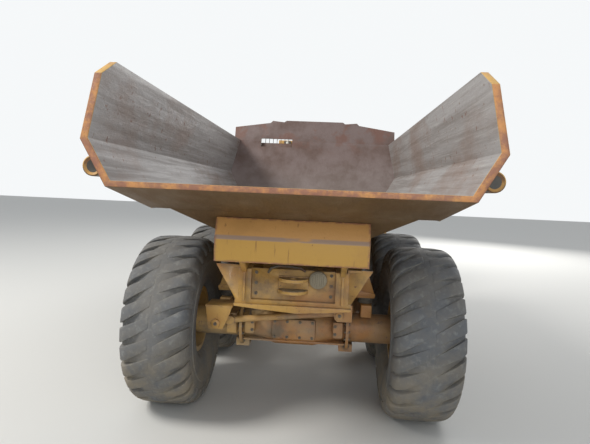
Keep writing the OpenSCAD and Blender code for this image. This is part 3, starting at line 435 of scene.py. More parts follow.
def glass_finish():
    f = Finish("dusty_clear_glass")
    f.bsdf.inputs["Transmission Weight"].default_value = 0.92
    f.bsdf.inputs["IOR"].default_value = 1.45
    dirt = f.both(f.cloud(2.5, 0.45, 0.85, detail=7.0), 0.35)
    return f.finish(f.mix(dirt, (0.92, 0.96, 0.96, 1), DUST), (0.03, dirt, 0.5), None)


def bright_finish(name, clean, filmed, gloss):
    f = Finish(name, metallic=1.0)
    film = f.cloud(20.0, 0.45, 0.8, stretch=(1, 0.3, 1))
    return f.finish(f.mix(film, clean, filmed), (gloss, film, 0.12), None)


def plain_finish(name, base, rough, grain, depth):
    """Moulded plastic, cloth or lamp glass with a fine grain and a little dust."""
    f = Finish(name)
    dust = f.both(f.cloud(3.0, 0.45, 0.8, detail=7.0), 0.4)
    return f.finish(f.mix(dust, base, DUST), (rough, dust, 0.2), f.cloud(grain, 0.3, 0.7), depth)


TYRE_RUBBER = rubber_finish("dusty_tyre_rubber", linear(94, 97, 101), 0.85)
PAD_RUBBER = rubber_finish("black_pad_rubber", linear(58, 57, 56), 0.5, 1.6)
GLASS = glass_finish()
CHROME = bright_finish("bright_cylinder_rod", (0.78, 0.78, 0.80, 1), (0.55, 0.54, 0.52, 1), 0.12)
MIRROR_GLASS = bright_finish("mirror_glass", (0.85, 0.87, 0.88, 1), (0.60, 0.60, 0.58, 1), 0.03)
SEAT_CLOTH = plain_finish("dark_seat_cloth", linear(52, 54, 58), 0.85, 260.0, 0.0015)
PLASTIC = plain_finish("black_moulded_plastic", linear(44, 44, 45), 0.55, 180.0, 0.0006)
LAMP_GLASS = plain_finish("ribbed_lamp_glass", linear(225, 225, 220), 0.15, 60.0, 0.002)
print("rubber, glass, chrome and trim made")

# %% [markdown]
# Most added pieces are put together from a few closed solids: plates cut to an
# outline, turned covers, round bars, bent pipes and bolts. One small workbench
# makes each of those with mesh operators, turns its faces outward and adds it to
# the piece, so that every piece is a set of closed shells.

# %% Workbench
RIGHT, AHEAD, BACK, UP = (1, 0, 0), (0, 1, 0), (0, -1, 0), (0, 0, 1)
SAME_POINT = 1e-5
CREASE = math.radians(38)
# A bolt's washer and head, as shares of its size: sides, foot, top, depth, lift
BOLT = ((12, 0.66, 0.62, 0.12, 0.04), (6, 0.5, 0.46, 0.5, 0.3))
NODE_BODY = {node: obj["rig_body"] for node, obj in frame["nodes"].items()}


def aim(centre, axis):
    """A place whose +Z points along the axis."""
    return Matrix.Translation(centre) @ Vector(axis).to_track_quat("Z", "Y").to_matrix().to_4x4()


def round_edges(part, edges, offset, segments=2, **options):
    bmesh.ops.bevel(part, geom=edges, offset=offset, segments=segments, profile=0.5, affect="EDGES",
                    clamp_overlap=True, material=-1, **options)


def only(kind, geom):
    return [g for g in geom if isinstance(g, kind)]


def drawn_out(part, outline, way):
    """A face through the points, drawn out into a solid."""
    face = part.faces.new([part.verts.new(point) for point in outline])
    moved = bmesh.ops.extrude_face_region(part, geom=[face])["geom"]
    bmesh.ops.translate(part, vec=way, verts=only(bmesh.types.BMVert, moved))


def disc(radius, height, crown=0.0):
    """Outline of a disc with a crowned top."""
    return [(0, 0), (radius, 0), (radius, height), (0, height + crown)]


def band(inner, outer, height, slope=0.0):
    """Outline of a ring with sloped sides."""
    return [(inner, 0), (outer, slope), (outer, height - slope), (inner, height)]


def corners(low_a, high_a, low_b, high_b):
    return (low_a, low_b), (high_a, low_b), (high_a, high_b), (low_a, high_b)


def clear_of(points):
    """A direction that no stretch of a pipe runs along."""
    ways = [(b - a).normalized() for a, b in zip(points, points[1:])]
    return min((Vector(v) for v in ((1, 0.13, 0.07), (0.11, 1, 0.05), (0.09, 0.12, 1))),
               key=lambda v: max(abs(way.dot(v.normalized())) for way in ways))


class Piece:
    """A piece that is put together from closed solids."""

    def __init__(self, *finishes):
        self.shape = bmesh.new()
        self.finishes = finishes

    def add(self, part, place=None, finish=0):
        """Takes a solid in, with its faces turned outward; finish -1 is the piece's last."""
        bmesh.ops.remove_doubles(part, verts=part.verts, dist=SAME_POINT)
        if place is not None:
            bmesh.ops.transform(part, matrix=place, verts=part.verts)
        bmesh.ops.recalc_face_normals(part, faces=part.faces)
        if part.calc_volume(signed=True) < 0:
            bmesh.ops.reverse_faces(part, faces=part.faces)
        for face in part.faces:
            face.smooth = True
            face.material_index = finish % len(self.finishes)
        mesh = as_mesh("part", part)
        self.shape.from_mesh(mesh)
        bpy.data.meshes.remove(mesh)

    def block(self, start, end, rounding=0.006, finish=0, turn=Matrix.Identity(4)):
        """A box between any two opposite corners."""
        part = bmesh.new()
        start, end = Vector(start), Vector(end)
        bmesh.ops.create_cube(part, size=1)
        bmesh.ops.scale(part, vec=[abs(v) for v in end - start], verts=part.verts)
        round_edges(part, part.edges[:], rounding)
        self.add(part, Matrix.Translation((start + end) / 2) @ turn, finish)

    def plate(self, axis, start, end, outline, rounding=0.004, finish=0):
        """An outline in the plane across the axis, drawn from start to end."""
        part = bmesh.new()
        spread = {"X": lambda a, b, t: (t, a, b), "Y": lambda a, b, t: (a, t, b), "Z": lambda a, b, t: (a, b, t)}[axis]
        drawn_out(part, [spread(a, b, start) for a, b in outline], spread(0, 0, end - start))
        round_edges(part, [e for e in part.edges if len(e.link_faces) == 2 and e.calc_face_angle() > 0.35], rounding)
        self.add(part, None, finish)

    def turned(self, centre, axis, outline, steps=40, finish=0):
        """Points of (radius, height) spun round the axis; an outline that stays off the axis is closed."""
        part = bmesh.new()
        verts = [part.verts.new((radius, 0, height)) for radius, height in outline]
        ends = verts[1:] + (verts[:1] if min(outline)[0] > 0 else [])
        edges = [part.edges.new(pair) for pair in zip(verts, ends)]
        bmesh.ops.spin(part, geom=verts + edges, cent=(0, 0, 0), axis=UP, angle=math.tau, steps=steps, use_merge=True)
        self.add(part, aim(centre, axis), finish)

    def bar(self, start, end, radius, steps=16, finish=0):
        start, end = Vector(start), Vector(end)
        part = bmesh.new()
        bmesh.ops.create_cone(part, cap_ends=True, segments=steps, radius1=radius, radius2=radius,
                              depth=(end - start).length)
        self.add(part, aim((start + end) / 2, end - start), finish)

    def pipe(self, points, radius, finish=0, closed=False, steps=8):
        """A bent pipe: a ring carried from point to point and bridged."""
        part = bmesh.new()
        points = [Vector(p) for p in points]
        rings = []
        for i, point in enumerate(points):
            ways = [(point - points[i - 1]).normalized()] if i or closed else []
            if closed or i < len(points) - 1:
                ways.append((points[(i + 1) % len(points)] - point).normalized())
            along = (ways[0] + ways[-1]).normalized()
            stretch = 1 / max(0.35, along.dot(ways[0]))
            made = bmesh.ops.create_circle(part, segments=steps, radius=radius)["verts"]
            side = along.cross(clear_of(points)).normalized()
            turn = Matrix((side, side.cross(along), along)).transposed().to_4x4()
            bmesh.ops.transform(part, matrix=Matrix.Translation(point) @ turn, verts=made)
            bend = ways[-1] - ways[0]
            if bend.length > 1e-4:
                bend.normalize()
                for v in made:
                    v.co += bend * (v.co - point).dot(bend) * (stretch - 1)
            rings.append([e for e in part.edges if e.verts[0] in made and e.verts[1] in made])
        for first, second in zip(rings, rings[1:] + (rings[:1] if closed else [])):
            bmesh.ops.bridge_loops(part, edges=first + second)
        if not closed:
            bmesh.ops.holes_fill(part, edges=rings[0] + rings[-1], sides=0)
        self.add(part, None, finish)

    def bead(self, points, radius, cut=0.03):
        """A closed pipe round a window, with its corners cut."""
        points = [Vector(p) for p in points]
        self.pipe([corner + (other - corner).normalized() * cut for i, corner in enumerate(points)
                   for other in (points[i - 1], points[(i + 1) % len(points)])], radius, closed=True)

    def bolts(self, places, axis, size, finish=-1):
        """Hexagon heads on washers, facing along the axis."""
        for place in places:
            for sides, foot, top, depth, lift in BOLT:
                part = bmesh.new()
                bmesh.ops.create_cone(part, cap_ends=True, segments=sides, radius1=size * foot, radius2=size * top,
                                      depth=size * depth, matrix=Matrix.Translation((0, 0, size * lift)))
                self.add(part, aim(place, axis), finish)

    def bolt_ring(self, centre, axis, radius, count, size, finish=-1):
        place = aim(centre, axis)
        turns = [math.tau * i / count for i in range(count)]
        self.bolts([place @ Vector((radius * math.cos(a), radius * math.sin(a), 0)) for a in turns], axis, size,
                   finish)

    def mirrored(self):
        """The same solids again on the truck's other side."""
        half = [*self.shape.verts, *self.shape.edges, *self.shape.faces]
        other = bmesh.ops.duplicate(self.shape, geom=half)["geom"]
        bmesh.ops.scale(self.shape, vec=(-1, 1, 1), verts=only(bmesh.types.BMVert, other))
        bmesh.ops.reverse_faces(self.shape, faces=only(bmesh.types.BMFace, other))
        return self

    def done(self, name, body, slot, *replaced):
        print(name, "has", sum(len(face.verts) - 2 for face in self.shape.faces), "triangles")
        mesh = as_mesh(name, self.shape)
        for finish in self.finishes:
            mesh.materials.append(finish)
        mesh.set_sharp_from_angle(angle=CREASE)
        obj = placed(name, mesh)
        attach(obj, body)
        if replaced:
            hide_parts(*replaced)
        return obj


print("workbench ready")

# %% [markdown]
# Each solid of the frame carries the name of its material slot. A finish is set for
# each slot, and a few nodes get one of their own, such as the load body with its
# two faces and the frame with its dirt. Only materials change here, no mesh does.

# %% Finishes on the frame's own parts
FINISH_OF_SLOT = dict(yellow_paint=PAINT, body_steel=BODY_FINISH, axle_steel=AXLE_PAINT, dark_paint=DARK_METAL,
                      rod_chrome=CHROME, tyre=TYRE_RUBBER, rubber=PAD_RUBBER, glass=GLASS, seat_cover=SEAT_CLOTH,
                      plastic=PLASTIC, exhaust_steel=EXHAUST_METAL, lamp=LAMP_GLASS)
FINISH_OF_NODE = {node: FRAME_PAINT for node in ("rear_frame", "walking_beams", "hitch", "front_frame", "tow_hitch",
                                                 "hoist_barrels", "steer_barrel_left", "steer_barrel_right")}
FINISH_OF_NODE.update(dump_body=BODY_FINISH, tail_box=BOX_PAINT, engine_block=IRON, front_suspension=IRON)
SLOT_OF_NODE = {row["node"]: row["material_slot"] for row in frame["record"]["subparts"]}
for node, slot_name in SLOT_OF_NODE.items():
    for place in frame["nodes"][node].material_slots:
        place.material = FINISH_OF_NODE.get(node, FINISH_OF_SLOT[slot_name])
print("finished", len(frame["nodes"]), "parts of the frame")

# %% [markdown]
# Cut plate never has a knife edge: it is ground, painted thick and knocked about.
# A merged copy of each large welded part gets its edges rounded and stands in for
# the plain one. The copy is kept only if it is closed and its volume is still
# nearly that of the first, for rounding takes little away.

# %% Rounded edges on the large parts
ROUNDED = {"tail_box": 0.006, "front_bumper": 0.018, "walking_beams": 0.008, "cab_shell": 0.012, "cab_door": 0.008,
           "rear_frame": 0.005, "front_frame": 0.006, "hitch": 0.006, "dump_body": 0.009, "fenders": 0.006,
           "engine_block": 0.02, "cab_console": 0.012, "mirrors": 0.010, "tow_hitch": 0.005}
FLAT, SHARP = math.radians(0.6), math.radians(28)
# Edges that meet a rounded one are at least this many times its rounding long
ROOM = 2.3
VOLUME_CHANGE = 0.04


def rounded_copy(node, rounding):
    shape = bmesh.new()
    shape.from_mesh(frame["nodes"][node].data)
    bmesh.ops.remove_doubles(shape, verts=shape.verts, dist=3 * SAME_POINT)
    before = shape.calc_volume()
    bmesh.ops.dissolve_limit(shape, angle_limit=FLAT, verts=shape.verts, edges=shape.edges)
    sharp = [e for e in shape.edges if len(e.link_faces) == 2 and e.calc_face_angle() > SHARP
             and all(near.calc_length() > ROOM * rounding for v in e.verts for near in v.link_edges)]
    round_edges(shape, sharp, rounding, loop_slide=True)
    after = shape.calc_volume()
    broken = sum(not e.is_manifold for e in shape.edges)
    print(node, "volume", round(before, 4), "to", round(after, 4), "open edges", broken)
    return shape, abs(after - before) < VOLUME_CHANGE * before and not broken


for node, rounding in ROUNDED.items():
    copy, sound = rounded_copy(node, rounding)
    if sound:
        piece = Piece(FINISH_OF_NODE.get(node, FINISH_OF_SLOT[SLOT_OF_NODE[node]]))
        piece.shape.free()
        piece.shape = copy
        for face in copy.faces:
            face.smooth = True
        piece.done("rounded_" + node, NODE_BODY[node], SLOT_OF_NODE[node], node)

# %% [markdown]
# An earthmover tyre is a round carcass with thick slanting lugs over both
# shoulders. The carcass is one profile spun round the axle. A lug starts as a
# bevelled block, and is then bent over the crown and down the shoulder; it leans
# the same way on both sides, and worn rubber runs together in the middle. The six
# tyres are the same mould, so one is made and set at each wheel.

# %% Tyres
WHEELS = [node[5:] for node in frame["nodes"] if node.startswith("tyre_")]
TYRE_RADIUS = 0.875
LUG_COUNT = 28
LUG_LENGTH = 0.40
LUG_WIDTH = 0.150
LUG_LEAN = 0.60
GROOVE = 0.058
WHEEL_TURN = 0.37
# Over the lugs, from the middle out: distance from the middle, radius
TREAD_LINE = [(0.0, 0.875), (0.08, 0.8745), (0.16, 0.871), (0.225, 0.864), (0.268, 0.850), (0.298, 0.826),
              (0.316, 0.794), (0.325, 0.756), (0.330, 0.716)]
# Half of the carcass, from the bead up to the crown
CARCASS_HALF = [(0.229, 0.3206), (0.230, 0.350), (0.262, 0.379), (0.288, 0.402), (0.303, 0.430), (0.301, 0.446),
                (0.313, 0.478), (0.326, 0.540), (0.332, 0.605), (0.3325, 0.640), (0.3265, 0.645), (0.327, 0.690),
                (0.312, 0.735), (0.296, 0.772), (0.272, 0.797), (0.232, 0.812), (0.175, 0.834), (0.110, 0.860),
                (0.060, 0.8700), (0.0, 0.8735)]


def on_line(line, share):
    """The point and the outward normal at a share of a line's length."""
    points = [Vector(p) for p in line]
    lengths = [(b - a).length for a, b in zip(points, points[1:])]
    left = share * sum(lengths)
    for a, b, length in zip(points, points[1:], lengths):
        if left <= length or b is points[-1]:
            way = (b - a).normalized()
            return a + (b - a) * min(left / length, 1), Vector((-way.y, way.x))
        left -= length


def lug_on(side, turn):
    """One lug bent over the shoulder on one side, at an angle round the wheel."""
    part = bmesh.new()
    bmesh.ops.create_cube(part, size=1)
    bmesh.ops.translate(part, vec=(0.5, 0, -0.5), verts=part.verts)
    long_edges = [e for e in part.edges if abs(e.verts[0].co.x - e.verts[1].co.x) > 0.5]
    bmesh.ops.scale(part, vec=(LUG_LENGTH, LUG_WIDTH, GROOVE + 0.02), verts=part.verts)
    round_edges(part, [e for e in part.edges if min(v.co.z for v in e.verts) > -0.001 or e not in long_edges], 0.013)
    long_edges = [e for e in part.edges if abs(e.verts[0].co.x - e.verts[1].co.x) > 0.3]
    bmesh.ops.subdivide_edges(part, edges=long_edges, cuts=9, use_grid_fill=True)
    for v in part.verts:
        share = min(max(v.co.x / LUG_LENGTH, 0), 1)
        place, normal = on_line(TREAD_LINE, 0.05 + 0.95 * share)
        place = place + normal * v.co.z * (0.25 + 0.75 * min(share * 1.6, 1))
        around = v.co.y * (0.72 + 0.28 * min(share * 1.5, 1))
        angle = turn + around / TYRE_RADIUS + LUG_LEAN * side * place.x
        v.co = Vector((side * place.x, -place.y * math.cos(angle), place.y * math.sin(angle)))
    return part


def tyre_mould():
    tyre = Piece(TYRE_RUBBER)
    outline = [(r, x) for x, r in CARCASS_HALF] + [(r, -x) for x, r in reversed(CARCASS_HALF[:-1])]
    tyre.turned((0, 0, 0), RIGHT, outline, steps=112)
    for i in range(LUG_COUNT):
        for side, offset in ((1, 0.0), (-1, 0.5)):
            tyre.add(lug_on(side, math.tau * (i + offset) / LUG_COUNT))
    return as_mesh("tyre_mould", tyre.shape)


def wheel_middle(wheel):
    low, high = (Vector(corner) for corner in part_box("tyre_" + wheel))
    return (low + high) / 2


MOULD = tyre_mould()
for i, wheel in enumerate(WHEELS):
    tyre = Piece(TYRE_RUBBER)
    tyre.shape.from_mesh(MOULD)
    turn = Matrix.Rotation(i * WHEEL_TURN, 3, "X")
    bmesh.ops.rotate(tyre.shape, cent=(0, 0, 0), matrix=turn, verts=tyre.shape.verts)
    bmesh.ops.translate(tyre.shape, vec=wheel_middle(wheel), verts=tyre.shape.verts)
    tyre.done("lugged_tyre_" + wheel, "wheel_" + wheel, "tyre", "tyre_" + wheel)
bpy.data.meshes.remove(MOULD)

# %% [markdown]
# The rim is a spun part already. What a mechanic would touch is added to it: the
# lock ring at the bead, wheel nuts round the hub, the bolted cover of the hub
# gears with its plug, and the valve.

# %% Wheel nuts and hub covers
HUB_COVER = 0.2951
for wheel in WHEELS:
    middle = wheel_middle(wheel)
    out = Vector((math.copysign(1, middle.x), 0, 0))
    trim = Piece(PAINT, IRON)
    for lift, outline, steps in (
            (0.230, [(0.322, 0), (0.349, 0.002), (0.353, 0.012), (0.346, 0.019), (0.322, 0.019)], 64),
            (0.0595, [(0.292, 0), (0.292, 0.010), (0.226, 0.020), (0.226, 0)], 48),
            (0.200, band(0.219, 0.236, 0.034, 0.004), 48),
            (HUB_COVER, [(0, 0.026), (0.062, 0.024), (0.078, 0.014), (0.080, 0), (0, 0)], 32)):
        trim.turned(middle + out * lift, out, outline, steps)
    trim.bolt_ring(middle + out * 0.073, out, 0.256, 18, 0.034)
    trim.bolt_ring(middle + out * HUB_COVER, out, 0.150, 12, 0.026)
    trim.bolts([middle + out * (HUB_COVER + 0.001) + Vector((0, 0.105, -0.055))], out, 0.034)
    trim.pipe([middle + out * x + Vector((0, 0, z)) for x, z in ((0.10, 0.288), (0.18, 0.270), (0.222, 0.262))],
              0.006, finish=1)
    trim.done("hub_trim_" + wheel, "wheel_" + wheel, "yellow_paint")

# %% [markdown]
# Each axle gets a bolted cover on its differential and a round one at its gear
# nose, a plate below, bolts round its flanges, brake calipers with their lines, and
# a breather. The same steps serve all three; the nose points forward on the rear two.

# %% Axle covers, calipers and flanges
AXLE_Z = 0.875
for node, y, nose in (("axle_front", 2.51, -1), ("axle_mid", -2.01, 1), ("axle_rear", -3.83, 1)):
    trim = Piece(AXLE_PAINT, IRON)
    trim.block((-0.225, y - nose * 0.16, 0.772), (0.225, y - nose * 0.245, 0.985), 0.028)
    trim.bolts([(x, y - nose * 0.245, z) for x in (-0.19, -0.065, 0.065, 0.19) for z in (0.800, 0.957)],
               (0, -nose, 0), 0.024)
    trim.block((-0.52, y - 0.17, 0.722), (0.52, y + 0.17, 0.742), 0.008)
    trim.turned((0, y + nose * 0.325, AXLE_Z + 0.03), (0, nose, 0), disc(0.155, 0.022))
    trim.bolt_ring((0, y + nose * 0.347, AXLE_Z + 0.03), (0, nose, 0), 0.138, 12, 0.020)
    for side in (-1, 1):
        for x, way in ((0.561, side), (0.529, -side)):
            trim.bolt_ring((side * x, y, AXLE_Z), (way, 0, 0), 0.205, 16, 0.026)
        for about in (-1, 1):
            trim.block((side * 0.395, y + about * 0.145, 0.815), (side * 0.500, y + about * 0.262, 0.985), 0.022)
            trim.bolts([(side * 0.42, y + about * 0.262, z) for z in (0.86, 0.94)], (0, about, 0), 0.026)
            line = [(side * x, y + about * reach, z) for x, reach, z in (
                (0.45, 0.20, 0.985), (0.45, 0.20, 1.005), (0.45, 0.20, 1.000), (0.45, 0.17, 1.045),
                (0.36, 0.12, 1.052), (0.10, 0.10, 1.068))]
            trim.bar(line[0], line[1], 0.016, finish=1)
            trim.pipe(line[2:], 0.007, finish=1)
    trim.bar((0.12, y, 1.06), (0.12, y, 1.13), 0.014, finish=1)
    trim.turned((0.12, y, 1.125), UP, disc(0.026, 0.022, 0.008), 16, finish=1)
    trim.done("trim_of_" + node, NODE_BODY[node], "axle_steel")

# %% [markdown]
# The frame's end is welded from plate: two upright edges, a lower flange that
# years of towing have bowed down, brackets for the cross rod with their pin heads,
# a round cover with pressed ribs, a pressed lip below it and a hose.

# %% Frame end
COVER_X, COVER_Z, RIB_PITCH = 0.230, 1.460, 0.019
rear = Piece(FRAME_PAINT, PALE_METAL, IRON)
for x in (-0.468, 0.448):
    rear.plate("X", x, x + 0.022, [(-4.476, 1.240), (-4.430, 1.240), (-4.430, 1.640), (-4.462, 1.560)])
rear.plate("Y", -4.480, -4.170, [(-0.548, 1.188), (-0.30, 1.166), (0.03, 1.146), (0.30, 1.164), (0.548, 1.188),
                                 (0.548, 1.214), (-0.548, 1.214)], 0.005)
for y in (-4.268, -4.094):
    rear.plate("Y", y, y + 0.028, [(0.376, 1.200), (0.405, 1.060), (0.430, 1.036), (0.572, 1.036), (0.572, 1.200)])
rear.plate("Y", -4.262, -4.236, [(-0.862, 1.100), (-0.862, 1.122), (-0.600, 1.122), (-0.640, 1.000),
                                 (-0.690, 0.892), (-0.835, 0.892), (-0.848, 1.000)])
rear.block((-0.868, -4.262, 1.112), (-0.598, -3.985, 1.130), 0.005)
rear.bar((-0.598, -4.16, 0.973), (-0.758, -4.16, 0.955), 0.040)
rear.bar((-0.758, -4.232, 0.950), (-0.758, -4.06, 0.950), 0.056)
for x, y, z, radius, neck, height, bolt in ((0.450, -4.266, 1.100, 0.040, 0.032, 0.026, 0.026),
                                            (-0.758, -4.260, 0.950, 0.044, 0.034, 0.027, 0.028)):
    rear.turned((x, y, z), BACK, [(0, 0), (radius, 0), (radius, 0.020), (neck, height), (0, height)], 24)
    rear.bolts([(x, y - height, z)], BACK, bolt)
rear.turned((COVER_X, -4.419, COVER_Z), BACK, [(0, 0.018), (0.070, 0.016), (0.082, 0.008), (0.084, 0), (0, 0)],
            finish=1)
for i in range(-3, 4):
    x, half = COVER_X + i * RIB_PITCH, math.sqrt(0.068 ** 2 - (i * RIB_PITCH) ** 2)
    rear.block((x - 0.005, -4.446, COVER_Z - half), (x + 0.005, -4.430, COVER_Z + half), 0.003, finish=1)
rear.plate("Z", 1.3595, 1.3635, [(-0.128, -4.4075), (0.128, -4.4075), (0.118, -4.455), (0.080, -4.506),
                                 (0.032, -4.534), (-0.032, -4.534), (-0.080, -4.506), (-0.118, -4.455)], 0.0015, 1)
rear.pipe([(-0.245, -4.375, 1.500), (-0.215, -4.390, 1.548), (-0.150, -4.398, 1.572), (-0.050, -4.398, 1.572),
           (0.060, -4.398, 1.560), (0.110, -4.392, 1.530)], 0.012, finish=2)
rear.bolts([(x, -4.381, z) for x in (-0.355, 0.355) for z in (1.30, 1.40, 1.50)], BACK, 0.026)
rear.done("frame_end", "rear_chassis", "yellow_paint")

# %% [markdown]
# Along the frame sit the parts that carry and turn the axles: ribs, bolts and
# folds at the rubber springs, bolted caps at the beams' pivots, the brake pipes with
# their clips, and the universal joints at each end of the two long shafts. At the
# front a bolted ring closes the frame's nose, and covers close the upright pivot.

# %% Frame and bogie fittings
# Each universal joint: its flange's y, the way it faces, its height
JOINTS = ((-3.50, 1, 0.905), (-2.20, -1, 0.905), (-1.64, 1, 0.905), (0.31, -1, 1.30))
bogie = Piece(FRAME_PAINT, IRON, PAD_RUBBER)
for y in (-2.01, -3.83):
    for rib in (y - 0.08175, y + 0.08175):
        bogie.plate("Y", rib - 0.008, rib + 0.008, [(0.520, 1.235), (0.820, 1.235), (0.816, 1.262), (0.560, 1.300)],
                    0.003)
    bogie.turned((0.73, y, 1.1505), UP, [(0.078, 0), (0.084, 0.012), (0.076, 0.030), (0.083, 0.045), (0.078, 0.0585),
                                         (0.060, 0.0585), (0.060, 0)], 32, finish=2)
    bogie.bolts([(x, y + dy, 1.2155) for x in (0.66, 0.80) for dy in (-0.06, 0.06)], UP, 0.022, finish=1)
bogie.turned((0.785, -2.92, 0.935), RIGHT, disc(0.105, 0.018, 0.004), 36)
bogie.bolt_ring((0.803, -2.92, 0.935), RIGHT, 0.078, 8, 0.022, finish=1)
for z in (1.30, 1.335):
    bogie.pipe([(0.388, y, z + rise) for y, rise in ((-4.20, 0), (-2.4, 0), (-1.2, 0.02), (-0.5, 0.02))], 0.009,
               finish=1)
for y in (-4.0, -3.3, -2.5, -1.7, -0.9):
    bogie.block((0.375, y - 0.012, 1.285), (0.3955, y + 0.012, 1.375), 0.003, finish=1)
bogie.mirrored().done("bogie_fittings", "rear_chassis", "yellow_paint")

shafts = Piece(IRON)
for y, way, z in JOINTS:
    cross = y + way * 0.125
    shafts.turned((0, y + way * 0.005, z), (0, way, 0), [(0, 0), (0.096, 0), (0.096, 0.022), (0.058, 0.034),
                                                         (0.058, 0.085), (0, 0.085)], 32)
    shafts.bolt_ring((0, y + way * 0.027, z), (0, way, 0), 0.080, 8, 0.016)
    shafts.bar((-0.085, cross, z), (0.085, cross, z), 0.026)
    shafts.bar((0, cross, z - 0.085), (0, cross, z + 0.085), 0.026)
    for x in (-0.062, 0.062):
        shafts.block((x - 0.016, cross - 0.05, z - 0.032), (x + 0.016, cross + 0.05, z + 0.032), 0.010)
shafts.done("shaft_joints", "rear_chassis", "axle_steel")

ring = Piece(FRAME_PAINT, IRON)
ring.turned((0, 0.555, 1.30), AHEAD, band(0.330, 0.372, 0.030), 64)
ring.bolt_ring((0, 0.555, 1.30), BACK, 0.352, 20, 0.028)
ring.done("nose_ring", "rear_chassis", "yellow_paint")

pivots = Piece(FRAME_PAINT, IRON)
for z, way in ((1.7005, 1), (0.8995, -1)):
    pivots.turned((0, 1.23, z), (0, 0, way), [(0.068, 0), (0.115, 0), (0.115, 0.020), (0.068, 0.024)])
    pivots.bolt_ring((0, 1.23, z + way * 0.020), (0, 0, way), 0.094, 8, 0.022)
pivots.done("pivot_covers", "front_chassis", "yellow_paint")

# %% [markdown]
# On the load body the welds, the round stiffeners' end caps, the ribs of the front
# wall and the guard over its viewing slot are separate small forms. The cross box
# under the tail has a bent face plate that is worn along its fold and its rim.

# %% Load body fittings
BOX_HALF = 0.652
GUARD_LOW, GUARD_MIDDLE, GUARD_TOP = 3.030, 3.130, 3.230


def on_wall(z, gap):
    """A height and the place of the leaning front wall there, a gap off its outer face."""
    return -0.62 + 0.2739 * (z - 1.78) + gap, z


seams = Piece(BODY_FINISH, DARK_METAL)
seams.turned((1.409, -5.509, 2.395), BACK, [(0.046, -0.01), (0.0745, -0.01), (0.0745, 0.012), (0.066, 0.018),
                                            (0.046, 0.006)], 32)
seams.turned((1.409, -5.511, 2.395), BACK, [(0, 0.002), (0.047, 0.005), (0.047, -0.002), (0, -0.002)], 32, finish=1)
for x, y0, z0, y1, z1 in ((1.479, -5.50, 2.58, -0.46, 2.58), (1.2005, -4.90, 2.088, -0.58, 2.088),
                          (0.503, -4.30, 1.778, -0.66, 1.778), (0.652, -4.88, 2.068, -4.75, 2.02)):
    seams.pipe([(x, y0, z0), (x, y1, z1)], 0.0055, steps=6)
for x in (0.25, 1.05):
    seams.plate("X", x - 0.05, x + 0.05, [on_wall(2.15, -0.01), on_wall(2.21, 0.06), on_wall(2.86, 0.06),
                                          on_wall(2.92, -0.01)], 0.006)
seams.mirrored()
seams.plate("X", -0.95, -0.36, [on_wall(GUARD_LOW, 0.012), on_wall(GUARD_LOW, 0.030), on_wall(GUARD_MIDDLE, 0.030),
                                on_wall(GUARD_MIDDLE, 0.012)], 0.003)
for i in range(1, 8):
    x = -0.93 + i * 0.55 / 8
    seams.bar((x, *on_wall(GUARD_LOW, 0.022)), (x, *on_wall(GUARD_TOP, 0.022)), 0.005, 8)
seams.done("body_seams_and_guard", "load_body", "yellow_paint")


def box_finish():
    """Box paint with the band that is rubbed bare along the fold, and chipped all round."""
    f = Finish("folded_box_paint", coat=0.04)
    band_mask = f.both(f.both(f.axis("Z", 1.846, 1.856), f.axis("Z", 1.892, 1.880)),
                       f.cloud(5.0, 0.30, 0.46, stretch=(0.6, 1, 3), detail=8.0))
    sides = f.either(f.axis("X", BOX_HALF - 0.027, BOX_HALF - 0.002), f.axis("X", 0.027 - BOX_HALF, 0.002 - BOX_HALF))
    border = f.either(sides, f.either(f.axis("Z", 1.684, 1.664), f.axis("Z", 2.012, 2.030)))
    colour = f.layered(
        # Above the fold the upper facet is a paler, pinker yellow: painted light on the facet that faces up.
        linear(184, 142, 62), (f.axis("Z", 1.84, 1.87), linear(190, 142, 82)),
        (f.cloud(3.0, 0.5, 0.7, detail=7.0), linear(160, 120, 66), 0.35),
        (f.cloud(26.0, 0.70, 0.74, detail=5.0), RUST), (f.cloud(8.0, 0.62, 0.70, stretch=(4, 4, 0.4)), RUST, 0.5),
        (band_mask, linear(152, 128, 110)),
        (f.both(f.edges(0.02), f.cloud(14.0, 0.42, 0.52, detail=8.0)), linear(120, 84, 62)),
        (f.both(border, f.cloud(15.0, 0.42, 0.54, detail=9.0, rough=0.75)), linear(134, 88, 72), 0.85))
    return f.finish(colour, (0.5, band_mask, 0.15), f.cloud(24.0, 0.3, 0.8, detail=7.0), 0.0015)


FOLD = [(-4.902, 1.663), (-4.894, 1.660), (-4.894, 1.852), (-4.812, 2.022), (-4.838, 2.034), (-4.905, 1.857)]
face = Piece(box_finish())
face.plate("X", -BOX_HALF, BOX_HALF, FOLD, 0.0025)
face.done("box_face_plate", "load_body", "yellow_paint")

# %% [markdown]
# A hinge pin is held in by a small plate with bolts, so that it can be driven out
# again. A hoist cylinder has a thicker head where its rod comes out, and a pipe
# that runs to it from the block near its foot. Each rides on the body that holds it.

# %% Hinge pins and hoist cylinders
pins = Piece(FRAME_PAINT, IRON)
for x, y, z, radius, height, steps in ((0.5645, -4.70, 1.80, 0.058, 0.014, 32), (0.804, -0.80, 1.09, 0.056, 0.016, 28)):
    pins.turned((x, y, z), RIGHT, disc(radius, height, 0.004), steps)
    pins.bolt_ring((x + height, y, z), RIGHT, 0.036, 3, 0.020)
pins.mirrored().done("pin_retainers", "rear_chassis", "yellow_paint")

